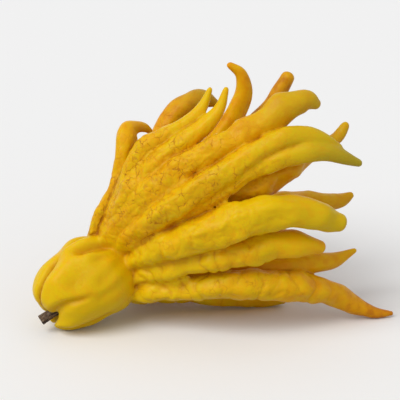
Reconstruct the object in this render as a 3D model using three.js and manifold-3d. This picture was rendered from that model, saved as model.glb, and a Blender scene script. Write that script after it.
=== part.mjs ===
// A Buddha's hand citron, picked and lying on a table: one fruit that splits into long fingers,
// and the woody stub of stem in the pit at its lower end.
//
// Millimetres, +Z up, the table at z = 0. +X runs from the stem end to the finger tips, -Y is the
// side with the largest fingers, and the origin is under the middle of the fruit.

import * as THREE from 'three';
import { mergeVertices } from 'three/addons/utils/BufferGeometryUtils.js';
import Module from 'manifold-3d';

// ---- driving dimensions ------------------------------------------------------------------------

// The solid end of the fruit, which the fingers grow out of.
const BODY_CENTRE = new THREE.Vector3(-87.5, -40, 28.4);
const BODY_AXIS = new THREE.Vector3(34, 16, 23).normalize(); // from the stem pit to the fingers
const BODY_PROFILE = [
  // [radius, distance along the axis from the centre], from the floor of the pit to the far end
  [0, -19], [5.4, -19.2], [6.2, -24.5], [8.8, -29.5], [12.5, -30.5], [17, -27.5], [20, -24], [22.8, -19],
  [25, -12], [26.4, -3], [27.4, 6], [27.2, 14], [25, 22], [20, 29.5], [12, 35], [0, 38],
];
const BODY_SIDES = 30;
const LOBE_COUNT = 5;
const LOBE_TURN = THREE.MathUtils.degToRad(-18); // where the first groove lies, from the -Y side up
const LOBE_DEPTH = 2.6; // at the stem end
const LOBE_END = 22; // distance along the axis at which the grooves have faded out
const PIT_DROP = 3.2; // how far the pit lies below the axis
const PIT_REACH = [6.5, 20]; // half widths between which the drop fades out

// The mass inside the hand, where the fingers part from each other.
const PALM_CENTRE = new THREE.Vector3(-45, -22, 50);
const PALM_RADII = [34, 19, 21]; // along the body's axis, and across it
const PALM_SIDES = [12, 8];

// The stub of stem.
const STEM_FOOT = new THREE.Vector3(-101.3, -48.4, 16.4); // a little clear of the floor of the pit
const STEM_DIRECTION = new THREE.Vector3(-13.0, -5.2, -7.4).normalize();
const STEM_PROFILE = [
  // [radius, distance out from the foot]
  [0, 0], [3.4, 0], [3.3, 2.5], [3.2, 6], [3.2, 12], [3.3, 15.2], [0, 15.5],
];
const STEM_SIDES = 12;

const FINGER_SIDES = 8;
const RINGS_PER_SPAN = 2; // rings from one point of a finger's spine to the next

// Each finger is a list of [x, y, z, half width], from its root in the palm to its tip.
const FINGERS = {
  // the front of the hand, from the table upwards
  long_low: [
    [-64, -36, 23.5, 2.6], [-56, -40, 23.3, 5], [-50.5, -42, 24.3, 6], [-42.5, -45.5, 26.3, 6.2],
    [-29.5, -49.5, 29.3, 6.7], [-17, -52, 31.5, 7.7], [6, -57, 36.5, 9.1], [30.5, -55, 35.2, 9.6],
    [54.5, -48, 30.8, 9.8], [78.7, -35, 19.6, 8], [100, -30, 6.3, 5.1], [110, -29.2, 3.4, 3.1],
    [118.3, -28.5, 2.9, 1.2],
  ],
  short_lower: [
    [-64, -36, 33.5, 2.6], [-55.5, -40, 35.8, 4.3], [-50.5, -43, 37.5, 4.8], [-42.5, -47.5, 39.8, 4.9],
    [-29.5, -54, 45.2, 5.8], [-10, -61, 53.2, 7.1], [12, -62, 59.3, 8.5], [34, -60, 64.4, 9.2],
    [55, -57, 64.4, 7.3], [66.3, -54, 61.2, 3.4],
  ],
  stout_middle: [
    [-64, -36, 42, 3], [-56, -42, 46, 4.6], [-50, -46.5, 49.8, 5.8], [-43.5, -50.5, 54.9, 7.6],
    [-35.5, -55, 60.3, 8.9], [-22.5, -61, 67.8, 10.2], [-10, -65, 74.4, 11.1], [14, -67, 83, 12],
    [36, -65, 89, 10.8], [58, -61, 86, 9], [71.5, -57, 80.5, 7.9], [77.5, -56, 79, 4.6],
  ],
  double_upper: [
    [-66, -34, 50.5, 4.8], [-60, -39, 57.5, 7], [-48, -49, 72, 8.2], [-29, -60, 89, 9.1],
    [-10, -62, 103, 9], [9, -61, 115, 8.3], [27, -58, 127, 7.7], [46, -54, 133.6, 7.5],
    [65, -51, 131, 6], [76, -50, 126, 2.6],
  ],
  double_lower: [
    [-50.5, -46, 64.8, 6.1], [-42, -50, 71.9, 6.2], [-32.3, -53, 78.8, 6.6], [-22.7, -55, 84.6, 7.5],
    [-13.2, -56.5, 89.9, 7.5], [-3.8, -57.5, 96.3, 7.2], [5.5, -58.5, 102.6, 6.8], [17, -59, 112, 6.8],
    [36, -58, 121, 7.1], [57, -56, 126, 7.4], [74, -53, 123, 5.9], [89.5, -50, 116.2, 2],
  ],
  stout_upper: [
    [-71, -33, 55, 7.4], [-61, -41, 72, 7.7], [-44, -50, 94, 7.8], [-23, -52, 112, 8.4],
    [3, -50, 127, 8.5], [30, -43, 140.6, 9], [46, -39, 150.4, 8.7], [58, -36, 153, 5.9],
    [63, -35, 150, 2.4],
  ],
  slender_right: [
    [-67, -37, 62, 6.5], [-54, -43, 92, 6.4], [-38, -44, 115, 5.7], [-18.5, -40, 128, 6.2],
    [-5.2, -37, 138.5, 5.6], [2.3, -35, 147.5, 4], [6.3, -33, 159.3, 1.5],
  ],
  slender_left: [
    [-69.5, -33, 63, 7], [-56.5, -37, 99, 6.2], [-49, -36, 116, 6.6], [-43, -35, 123.5, 6.6],
    [-34, -34, 128.5, 5.5], [-21, -31, 135.3, 4.7], [-9.5, -29, 145, 3.8], [-3.8, -27, 157.5, 1.5],
  ],
  crown_pad: [
    [-70.6, -33, 65.3, 5.2], [-63.5, -38, 78.3, 7.1], [-55.4, -41.5, 90.5, 9.3],
    [-50.1, -42.5, 99, 8.9], [-44.7, -41.5, 105.7, 5],
  ],
  // the back of the hand that rises over the front
  back_hook: [
    [-80, -33, 46, 4.4], [-80.5, -31, 55.4, 4.1], [-78.4, -31, 66.6, 3.9], [-74.5, -31, 77.7, 4.2],
    [-66.1, -30, 91.1, 4.3], [-61.8, -28, 104.1, 4.4], [-59.5, -25, 115.3, 5.5],
    [-57.7, -21, 121.8, 7.1], [-56.3, -16, 126.3, 6.5], [-51.6, -11, 127.5, 4.2],
    [-46.4, -6, 125.8, 3.2], [-42.7, -1, 121.7, 1.7],
  ],
  back_arc: [
    [-64, -15, 68, 8], [-51, -5, 89, 8], [-41, 3, 106, 7.8], [-29, 11, 127.2, 8.1],
    [-17.5, 16, 136.2, 8.1], [-7.5, 20, 138, 6.5], [0.5, 22, 134.5, 2.2],
  ],
  tall_curl: [
    [-57, -15, 65, 6.6], [-30, 2, 83, 6.7], [-1.4, 13, 109, 6.5], [13.7, 19, 128, 7],
    [19.4, 21, 145, 5.5], [16.6, 20, 156, 3.8], [9.6, 19, 161.5, 1.9],
  ],
  tall_blunt: [
    [-54, -15, 61, 6], [-27, 8, 78, 6.1], [6, 25, 103, 6.1], [39.5, 31, 131.8, 5.7], [45, 33, 141, 5.4],
    [49.2, 34, 149, 3.8],
  ],
  // the middle of the hand
  middle_upper: [
    [-59, -27, 47.7, 7.3], [-36, -34, 66.4, 7.9], [-11, -41, 83, 8.5], [11.7, -46, 94.4, 9.5],
    [29.5, -45, 102.9, 10.3], [47.8, -38, 110.8, 8.9], [62.6, -27, 117.9, 5.6], [78.7, -18, 123.2, 4.2],
    [83.8, -15.5, 130.1, 2.5],
  ],
  middle_right: [
    [-60, -20, 42, 6.7], [-31, -17, 54.5, 7.3], [-1, -16, 66.3, 7.7], [26, -14, 74, 8],
    [51, -9, 75.3, 7.7], [71, -4, 73.4, 7.1], [84.3, 0, 73, 4.8], [91.2, 2, 76.2, 2],
  ],
  middle_lower: [
    [-60, -25, 31, 6], [-24, -33, 34.4, 6.3], [15.7, -38, 39.2, 6.7], [45.2, -36, 40.8, 7],
    [64.2, -31, 40.7, 7.2], [80.3, -23, 39.8, 5], [93, -17, 43.6, 1.6],
  ],
  underside: [
    [-62, -31, 25, 6.6], [-51.5, -28, 16.3, 7.3], [-40, -22, 14.5, 6.8], [-20, -17, 12, 7],
    [4, -14, 9, 7], [23, -12, 7, 6.9], [39, -11, 5.8, 5.7], [46, -11, 5, 2.9],
  ],
  // inside the hand
  inner_high: [
    [-55, -20, 60, 7.5], [-30, -8, 76, 7.5], [-3, 4, 88, 7], [22, 12, 98, 6], [42, 15, 108, 4],
    [51, 14, 115, 1.8],
  ],
  inner_low: [
    [-58, -22, 40, 7], [-30, -8, 43, 7.5], [0, 6, 44, 7.5], [28, 14, 43, 6.5], [50, 17, 41, 4.5],
    [61, 17, 38.5, 1.9],
  ],
  // the back of the hand, from the top down to the table
  rear_crest: [
    [-73, -24, 50, 6.5], [-60, 6, 76, 7.5], [-46, 25, 96, 7.5], [-30, 37, 112, 6.5], [-18, 39, 122, 4],
    [-13, 36, 126, 1.8],
  ],
  rear_high: [
    [-76, -22, 42, 6.5], [-69, 10, 60, 8], [-60, 32, 76, 7.5], [-48, 46, 92, 6.5], [-38, 50, 103, 4.5],
    [-29, 49, 106, 1.9],
  ],
  rear_upper: [
    [-70, -17, 44, 6.5], [-54, 22, 60, 8.3], [-37, 46, 76, 8.5], [-22, 57, 88, 7], [-12, 60, 96, 4.8],
    [-6, 58, 99, 2],
  ],
  rear_outer: [
    [-68, -18, 41, 6.5], [-43, 28, 52, 9], [-18, 52, 62, 10.5], [8, 65, 70, 11], [28, 70, 73, 9],
    [38, 72, 72, 3.7],
  ],
  rear_inner: [
    [-59, -15, 43, 7], [-34, 14, 53, 7.5], [-6, 30, 66, 7], [20, 38, 80, 6.5], [40, 41, 92, 4.8],
    [51, 40, 100, 1.9],
  ],
  rear_middle: [
    [-66, -19, 37, 6.5], [-36, 28, 36, 9], [-10, 51, 38, 10], [14, 64, 42, 9.5], [30, 68, 48, 7],
    [39, 67, 55, 2.6],
  ],
  rear_lower: [
    [-66, -20, 33, 6.5], [-38, 24, 24, 8.5], [-13, 47, 18, 9.5], [12, 61, 16, 8.5], [30, 68, 19, 5.5],
    [38, 68, 25, 2],
  ],
  rear_right: [
    [-64, -21, 33, 6.5], [-31, 9, 27, 8], [-2, 26, 25, 9], [27, 37, 26, 8.5], [46, 44, 26, 6],
    [59, 51, 24, 2.1],
  ],
  rear_foot: [
    [-66, -22, 29, 6.5], [-38, 12, 17, 8.5], [-12, 28, 10, 9.5], [14, 38, 8.6, 8.8], [30, 42, 7, 6.5],
    [37, 42, 6.5, 3.2],
  ],
  rear_thumb: [
    [-70, -26, 27, 6.5], [-57, 6, 17, 8.5], [-44, 24, 11, 8.5], [-30, 33, 9, 7.5], [-20, 34, 12, 5],
    [-15, 30.5, 15.5, 2.2],
  ],
};

// ---- solids ------------------------------------------------------------------------------------

const wasm = await Module();
wasm.setup();

/** Turns a closed geometry into a solid, after its shared corners and flat slivers are merged. */
function toSolid(geometry) {
  geometry.deleteAttribute('normal');
  geometry.deleteAttribute('uv');
  const merged = mergeVertices(geometry);
  const corners = merged.index.array;
  const triVerts = [];
  for (let i = 0; i < corners.length; i += 3) {
    const [a, b, c] = corners.slice(i, i + 3);
    if (a !== b && b !== c && c !== a) triVerts.push(a, b, c);
  }
  return new wasm.Manifold(new wasm.Mesh({
    numProp: 3,
    vertProperties: merged.attributes.position.array,
    triVerts: Uint32Array.from(triVerts),
  }));
}

/** Turns a solid back into a geometry. */
function toGeometry(solid) {
  const mesh = solid.getMesh();
  const geometry = new THREE.BufferGeometry();
  geometry.setAttribute('position', new THREE.BufferAttribute(mesh.vertProperties, 3));
  geometry.setIndex(new THREE.BufferAttribute(mesh.triVerts, 1));
  geometry.computeVertexNormals();
  return geometry;
}

/** Turns and places a geometry so that its own +Y lies along the direction, at the place. */
function place(geometry, direction, centre) {
  const turn = new THREE.Quaternion().setFromUnitVectors(new THREE.Vector3(0, 1, 0), direction);
  return geometry.applyQuaternion(turn).translate(centre.x, centre.y, centre.z);
}

/** A lathe made round +Y from a list of [radius, height]. */
function lathe(profile, sides) {
  const points = profile.map(([radius, height]) => new THREE.Vector2(radius, height));
  return new THREE.LatheGeometry(points, sides);
}

// ---- fruit -------------------------------------------------------------------------------------

/** The solid end: a lathe with a groove between each pair of lobes, and its pit below the axis. */
function makeBody() {
  const geometry = place(lathe(BODY_PROFILE, BODY_SIDES), BODY_AXIS, BODY_CENTRE);
  const front = new THREE.Vector3(0, -1, 0).projectOnPlane(BODY_AXIS).normalize();
  const above = front.clone().cross(BODY_AXIS);
  const stemEnd = BODY_PROFILE[4][1];
  const point = new THREE.Vector3();
  const out = new THREE.Vector3();
  const positions = geometry.attributes.position;
  for (let i = 0; i < positions.count; i++) {
    point.fromBufferAttribute(positions, i).sub(BODY_CENTRE);
    const along = point.dot(BODY_AXIS);
    out.copy(point).addScaledVector(BODY_AXIS, -along);
    const angle = Math.atan2(out.dot(above), out.dot(front)) - LOBE_TURN;
    const groove = Math.abs(Math.cos(angle * LOBE_COUNT / 2)) ** 3;
    const fade = THREE.MathUtils.clamp((LOBE_END - along) / (LOBE_END - stemEnd), 0, 1);
    const edge = THREE.MathUtils.smoothstep(out.length(), 8, 18);
    out.setLength(out.length() - LOBE_DEPTH * groove * fade * edge);
    const drop = along < 0 ? PIT_DROP * (1 - THREE.MathUtils.smoothstep(out.length(), ...PIT_REACH)) : 0;
    point.copy(out).addScaledVector(above, -drop).addScaledVector(BODY_AXIS, along).add(BODY_CENTRE);
    positions.setXYZ(i, point.x, point.y, point.z);
  }
  return toSolid(geometry);
}

/** The palm: an ellipsoid along the body's axis. */
function makePalm() {
  const [along, across, upright] = PALM_RADII;
  const geometry = new THREE.SphereGeometry(1, ...PALM_SIDES).scale(upright, along, across);
  return toSolid(place(geometry, BODY_AXIS, PALM_CENTRE));
}

/** One finger: a lathe whose rings are carried along the spine, each at the spine's own width. */
function makeFinger(spine) {
  const path = new THREE.CatmullRomCurve3(spine.map(([x, y, z]) => new THREE.Vector3(x, y, z)));
  const width = new THREE.SplineCurve(spine.map((point, i) => new THREE.Vector2(i, point[3])));
  const steps = (spine.length - 1) * RINGS_PER_SPAN;
  const rings = [];
  let side = new THREE.Vector3(0, 0, 1);
  for (let i = 0; i <= steps; i++) {
    const centre = path.getPoint(i / steps);
    const along = path.getTangent(i / steps);
    side = side.clone().projectOnPlane(along).normalize();
    const over = side.clone().cross(along);
    rings.push({ centre, along, side, over, radius: width.getPoint(i / steps).y });
  }
  const root = { ...rings[0], radius: 0 };
  const last = rings[rings.length - 1];
  const tip = { ...last, centre: last.centre.clone().addScaledVector(last.along, last.radius), radius: 0 };
  rings.unshift(root);
  rings.push(tip);

  const geometry = lathe(rings.map((ring, height) => [ring.radius, height]), FINGER_SIDES);
  const positions = geometry.attributes.position;
  const point = new THREE.Vector3();
  for (let i = 0; i < positions.count; i++) {
    const { centre, side: across, over } = rings[Math.round(positions.getY(i))];
    point.copy(centre).addScaledVector(across, positions.getX(i)).addScaledVector(over, positions.getZ(i));
    positions.setXYZ(i, point.x, point.y, point.z);
  }
  return toSolid(geometry);
}

/** Everything below the table, which presses the lowest places flat. */
function makeTable() {
  const size = 400;
  return toSolid(new THREE.BoxGeometry(size, size, size).translate(0, 0, -size / 2));
}

let fruit = makeBody().add(makePalm());
for (const spine of Object.values(FINGERS)) fruit = fruit.add(makeFinger(spine));
fruit = fruit.subtract(makeTable());

// The outer surface alone is kept, so that no pinhole stays sealed between touching fingers.
fruit = fruit.decompose().reduce((largest, body) => (body.volume() > largest.volume() ? body : largest));

// ---- stem --------------------------------------------------------------------------------------

const stem = toSolid(place(lathe(STEM_PROFILE, STEM_SIDES), STEM_DIRECTION, STEM_FOOT));

// ---- the object --------------------------------------------------------------------------------

const group = new THREE.Group();

/** Adds a solid to the object as a named mesh. */
function addPiece(name, solid, color, roughness) {
  const mesh = new THREE.Mesh(
    toGeometry(solid),
    new THREE.MeshStandardMaterial({ color, roughness, metalness: 0 }),
  );
  mesh.name = name;
  group.add(mesh);
}

addPiece('fruit', fruit, 0xd9a51c, 0.45);
addPiece('stem', stem, 0x5d4532, 0.85);

export default group;
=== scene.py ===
"""A Buddha's hand citron lying on a pale table.

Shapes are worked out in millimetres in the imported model's frame (+Z up, the table at z = 0, +X from
the stem to the finger tips, -Y towards the largest fingers) and written to the meshes in metres.
"""

import logging
from dataclasses import dataclass, field
from enum import Enum
from typing import ClassVar

import bpy
import numpy as np
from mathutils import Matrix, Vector
from numpy.typing import NDArray


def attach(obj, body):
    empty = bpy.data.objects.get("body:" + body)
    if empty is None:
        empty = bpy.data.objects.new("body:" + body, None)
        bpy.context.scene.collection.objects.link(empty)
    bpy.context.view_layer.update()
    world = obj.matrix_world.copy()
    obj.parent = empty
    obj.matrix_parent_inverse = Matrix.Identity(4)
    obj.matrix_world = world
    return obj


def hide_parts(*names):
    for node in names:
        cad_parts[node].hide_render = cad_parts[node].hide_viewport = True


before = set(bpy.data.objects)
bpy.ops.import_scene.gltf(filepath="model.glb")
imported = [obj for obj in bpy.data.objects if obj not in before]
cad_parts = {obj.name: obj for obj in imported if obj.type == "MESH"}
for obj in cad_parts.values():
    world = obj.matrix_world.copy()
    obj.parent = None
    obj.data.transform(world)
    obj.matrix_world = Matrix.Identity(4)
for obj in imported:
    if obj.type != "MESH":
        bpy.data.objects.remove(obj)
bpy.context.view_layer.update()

Array = NDArray[np.float64]
Whole = NDArray[np.int64]
Points = list[tuple[float, ...]]
Place = tuple[float, float, float]  # x, y, z
Colour = tuple[float, float, float]  # red, green, blue, as light
Socket = bpy.types.NodeSocket
Inputs = dict[str | int, object]

MM = 0.001
log = logging.getLogger("citron")


# ---- curves and noise --------------------------------------------------------------------------


def through(knots: Array, values: Array, where: Array) -> Array:
    """A smooth curve through the values.

    Between two knots it is a cubic whose slope at each knot is the mean of the slopes of the two
    chords that meet there, each weighted by the length of the other.

    Args:
        knots: Rising places of the values.
        values: One row for each knot.
        where: The places at which the curve is wanted.

    Returns:
        One row for each place.
    """
    gap = np.diff(knots)
    chord = np.diff(values, axis=0) / gap[:, None]
    before, after = gap[:-1, None], gap[1:, None]
    inner = (chord[:-1] * after + chord[1:] * before) / (before + after)
    slope = np.vstack([chord[:1], inner, chord[-1:]])
    k = np.clip(np.searchsorted(knots, where, side="right") - 1, 0, len(gap) - 1)
    h = gap[k][:, None]
    t = ((where - knots[k]) / gap[k])[:, None]
    start = (1 + 2 * t) * (1 - t) ** 2 * values[k] + t * (1 - t) ** 2 * h * slope[k]
    end = t * t * (3 - 2 * t) * values[k + 1] + t * t * (t - 1) * h * slope[k + 1]
    return start + end


def unit(vectors: Array) -> Array:
    """Returns the vectors at length one."""
    return vectors / np.linalg.norm(vectors, axis=-1, keepdims=True)


def ramp(values: Array, low: float, high: float) -> Array:
    """Returns 0 at low, 1 at high, held beyond them, and 3t^2 - 2t^3 of the share t between them."""
    t = np.clip((values - low) / (high - low), 0, 1)
    return t * t * (3 - 2 * t)


def waves(points: Array, length: float, seed: int, count: int = 20) -> Array:
    """Smooth noise, mostly between -1 and 1.

    It is the sum of plane waves of random direction and phase, whose lengths lie around the given
    one, over the square root of their number.

    Args:
        points: Places in millimetres, with x, y, z in the last axis.
        length: The middle wavelength, in millimetres.
        seed: Picks the waves.
        count: How many waves are summed.

    Returns:
        One value for each place.
    """
    rng = np.random.default_rng(seed)
    direction = unit(rng.normal(size=(count, 3)))
    step = direction * (2 * np.pi / (length * rng.uniform(0.7, 1.4, (count, 1))))
    phase = rng.uniform(0, 2 * np.pi, count)
    return np.sin(points @ step.T + phase).sum(axis=-1) / np.sqrt(count)


def scatter(cell: Whole, salt: int) -> Array:
    """A fixed random number for each cell.

    The cell's numbers, each times a large prime, are summed, and shifts and products mix the bits
    of the sum.

    Args:
        cell: Whole numbers x, y, z, one cell in a row.
        salt: Picks the numbers.

    Returns:
        One number from 0 to 1 for each cell.
    """
    key = (cell * np.array([73856093, 19349663, 83492791])).sum(axis=1) + salt * 7919
    key = key.astype(np.uint64)
    key = (key ^ (key >> np.uint64(15))) * np.uint64(0x2C1B3C6D)
    key = (key ^ (key >> np.uint64(12))) * np.uint64(0x297A2D39)
    key = key ^ (key >> np.uint64(15))
    return (key & np.uint64(0xFFFFFF)).astype(float) / 0xFFFFFF


def cell_walls(points: Array, size: float, seed: int) -> Array:
    """How far each point is from the nearest wall of a random foam.

    Each cube of the size holds one random point. The value is half the difference between the
    distances to the second nearest and to the nearest of them.

    Args:
        points: Places in millimetres, one in a row.
        size: Middle size of a cell, in millimetres.
        seed: Picks the foam.

    Returns:
        The distance from a wall, in millimetres.
    """
    base = np.floor(points / size).astype(np.int64)
    first = np.full(len(points), np.inf)
    second = first.copy()
    for corner in np.ndindex(3, 3, 3):
        cell = base + np.array(corner) - 1
        jitter = np.stack([scatter(cell, seed * 3 + k) for k in range(3)], axis=1)
        distance = np.linalg.norm((cell + jitter) * size - points, axis=1)
        second = np.minimum(second, np.maximum(first, distance))
        first = np.minimum(first, distance)
    return (second - first) / 2


# ---- meshes ------------------------------------------------------------------------------------


@dataclass
class Surface:
    """Points and faces of a mesh, in millimetres."""

    points: Array
    faces: list[Whole]  # one array for each number of sides

    @classmethod
    def tube(cls, rings: Array) -> "Surface":
        """A closed tube from a grid of rings.

        The first and the last ring shrink to one point each, and a face joins each pair of
        neighbours on two neighbouring rings. The rings turn right-handed about the way they run.

        Args:
            rings: Places, as ring, place on the ring, and x, y, z.

        Returns:
            The tube.
        """
        count, around = len(rings) - 2, rings.shape[1]
        ends = rings[[0, -1]].mean(axis=1)
        points = np.vstack([ends[:1], rings[1:-1].reshape(-1, 3), ends[1:]])
        here = 1 + np.arange(count * around).reshape(count, around)
        beside = np.roll(here, -1, axis=1)
        walls = np.stack([here[:-1], beside[:-1], beside[1:], here[1:]], axis=-1).reshape(-1, 4)
        low = np.stack([np.zeros(around, int), beside[0], here[0]], axis=-1)
        high = np.stack([np.full(around, len(points) - 1), here[-1], beside[-1]], axis=-1)
        return cls(points, [walls, low, high])

    @classmethod
    def joined(cls, surfaces: list["Surface"]) -> "Surface":
        """Puts several surfaces in one, without cutting them where they cross.

        Args:
            surfaces: The surfaces, which stay as they are.

        Returns:
            The one surface.
        """
        starts = np.cumsum([0] + [len(surface.points) for surface in surfaces])
        faces = [face + start for surface, start in zip(surfaces, starts) for face in surface.faces]
        return cls(np.vstack([surface.points for surface in surfaces]), faces)

    @classmethod
    def taken_from(cls, mesh: bpy.types.Mesh) -> "Surface":
        """Takes a mesh's points and faces.

        Args:
            mesh: The mesh, whose faces all have the same number of sides. It is removed.

        Returns:
            Its surface, in millimetres.
        """
        points = np.empty(len(mesh.vertices) * 3)
        mesh.vertices.foreach_get("co", points)
        corners = np.empty(len(mesh.loops), dtype=np.int64)
        mesh.loops.foreach_get("vertex_index", corners)
        faces = corners.reshape(len(mesh.polygons), -1)
        bpy.data.meshes.remove(mesh)
        return cls(points.reshape(-1, 3) / MM, [faces])

    def mesh(self, name: str) -> bpy.types.Mesh:
        """Makes a smooth-shaded mesh of the surface.

        Args:
            name: The mesh's name.

        Returns:
            The mesh, in metres.
        """
        mesh = bpy.data.meshes.new(name)
        sides = np.concatenate([np.full(len(face), face.shape[1]) for face in self.faces])
        mesh.vertices.add(len(self.points))
        mesh.vertices.foreach_set("co", (self.points * MM).ravel())
        mesh.loops.add(int(sides.sum()))
        mesh.loops.foreach_set("vertex_index", np.concatenate([face.ravel() for face in self.faces]))
        mesh.polygons.add(len(sides))
        mesh.polygons.foreach_set("loop_start", np.concatenate([[0], np.cumsum(sides)[:-1]]))
        mesh.update(calc_edges=True)
        mesh.shade_smooth()
        return mesh

    def edges(self) -> Whole:
        """Returns each edge once, as two points."""
        pairs = [np.stack([face, np.roll(face, -1, axis=1)], axis=-1).reshape(-1, 2) for face in self.faces]
        return np.unique(np.sort(np.vstack(pairs), axis=1), axis=0)

    def normals(self) -> Array:
        """The way out at each point: the sum of the area vectors of its faces, at length one.

        Returns:
            One direction for each point.
        """
        total = np.zeros_like(self.points)
        for face in self.faces:
            corner = self.points[face]
            area = np.cross(corner[:, 1] - corner[:, 0], corner[:, 2] - corner[:, 0])
            for side in range(face.shape[1]):
                for axis in range(3):
                    total[:, axis] += np.bincount(face[:, side], area[:, axis], len(total))
        return unit(total + 1e-12)

    def largest_shell(self) -> "Surface":
        """The largest of the separate shells, which leaves out each sealed hollow inside it.

        Each point takes the lowest of its own and its neighbours' numbers, again and again, until
        all the points of a shell have the same number.

        Returns:
            The surface of that shell.
        """
        a, b = self.edges().T
        label = np.arange(len(self.points))
        while True:
            low = np.minimum(label[a], label[b])
            lower = label.copy()
            np.minimum.at(lower, a, low)
            np.minimum.at(lower, b, low)
            lower = lower[lower]
            if np.array_equal(lower, label):
                break
            label = lower
        kept = label == np.bincount(label).argmax()
        place = np.cumsum(kept) - 1
        return Surface(self.points[kept], [place[face[kept[face[:, 0]]]] for face in self.faces])


class Neighbours:
    """The edges of a surface, for taking the mean of each point's neighbours."""

    def __init__(self, surface: Surface) -> None:
        """Keeps the edges both ways round, and how many meet at each point.

        Args:
            surface: The surface that has the edges.
        """
        edges = surface.edges()
        self.here = np.concatenate([edges[:, 0], edges[:, 1]])
        self.there = np.concatenate([edges[:, 1], edges[:, 0]])
        self.size = len(surface.points)
        self.count = np.bincount(self.here, minlength=self.size)

    def mean(self, values: Array) -> Array:
        """The mean of the neighbours' values.

        Args:
            values: One for each point, or one row for each point.

        Returns:
            The means, in the same form.
        """
        if values.ndim == 1:
            return np.bincount(self.here, values[self.there], self.size) / self.count
        return np.stack([self.mean(column) for column in values.T], axis=1)

    def blurred(self, values: Array, rounds: int) -> Array:
        """Moves each value half way to its neighbours' mean, many times.

        Args:
            values: One for each point, or one row for each point.
            rounds: How many times they move.

        Returns:
            The blurred values, in the same form.
        """
        for _ in range(rounds):
            values = (values + self.mean(values)) / 2
        return values


def modified(mesh: bpy.types.Mesh, kind: str, **settings: object) -> bpy.types.Mesh:
    """Runs one modifier on a mesh.

    Args:
        mesh: The mesh, which is removed.
        kind: The modifier's type.
        settings: The modifier's settings, by name.

    Returns:
        The new mesh.
    """
    holder = bpy.data.objects.new("holder", mesh)
    bpy.context.scene.collection.objects.link(holder)
    modifier = holder.modifiers.new("step", kind)
    for name, value in settings.items():
        setattr(modifier, name, value)
    result = bpy.data.meshes.new_from_object(holder.evaluated_get(bpy.context.evaluated_depsgraph_get()))
    bpy.data.objects.remove(holder)
    bpy.data.meshes.remove(mesh)
    return result


def add_object(name: str, mesh: bpy.types.Mesh, material: bpy.types.Material) -> bpy.types.Object:
    """Adds an object to the scene.

    Args:
        name: The object's name.
        mesh: Its mesh.
        material: The one material of the mesh.

    Returns:
        The object.
    """
    mesh.materials.clear()
    mesh.materials.append(material)
    obj = bpy.data.objects.new(name, mesh)
    bpy.context.scene.collection.objects.link(obj)
    return obj


def store(mesh: bpy.types.Mesh, **columns: Array) -> None:
    """Stores one number for each point of the mesh under each name."""
    for name, values in columns.items():
        mesh.attributes.new(name, "FLOAT", "POINT").data.foreach_set("value", values)


# ---- the fruit's parts -------------------------------------------------------------------------


@dataclass(frozen=True)
class Relief:
    """How rough the rind of a part is."""

    swelling: float  # height of the broad swellings, mm
    ribs: float  # height of the long ribs, as a share of the half width
    pillows: float  # height of the small lumps, mm
    bands: float  # depth of the creases across the finger, mm


class Growth(Enum):
    """The kinds of rind."""

    TAUT = Relief(swelling=0.6, ribs=0.0, pillows=0.0, bands=0.0)
    SMOOTH = Relief(swelling=0.35, ribs=0.02, pillows=0.15, bands=0.15)
    RIBBED = Relief(swelling=0.8, ribs=0.035, pillows=0.8, bands=0.6)
    LUMPY = Relief(swelling=0.5, ribs=0.03, pillows=0.65, bands=0.3)
    BANDED = Relief(swelling=0.6, ribs=0.03, pillows=0.45, bands=1.2)


@dataclass
class Spine:
    """Places along the middle of a part."""

    centre: Array
    radius: Array
    heading: Array  # the way it runs, at length one
    side: Array  # a way across it, the same all along as far as its bends allow, at length one
    distance: Array  # from the root, mm
    least: ClassVar[float] = 0.4  # the least half width, mm

    @classmethod
    def of(cls, points: Points, spacing: float) -> "Spine":
        """Places on the smooth curve through some points.

        The side is the way out of the plane that the curve bends in most, made square to it.

        Args:
            points: x, y, z and half width, from the root to the tip.
            spacing: How far apart the places are, in millimetres.

        Returns:
            The spine.
        """
        rows = np.array(points, dtype=float)
        knots = np.concatenate([[0], np.cumsum(np.linalg.norm(np.diff(rows[:, :3], axis=0), axis=1))])
        distance = np.linspace(0, knots[-1], int(knots[-1] / spacing) + 2)
        line = through(knots, rows, distance)
        centre = line[:, :3]
        heading = unit(np.gradient(centre, axis=0))
        flat = np.linalg.svd(centre - centre.mean(axis=0), full_matrices=False)[2][-1]
        side = unit(flat - heading * (heading @ flat)[:, None])
        return cls(centre, np.maximum(line[:, 3], cls.least), heading, side, distance)


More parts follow.
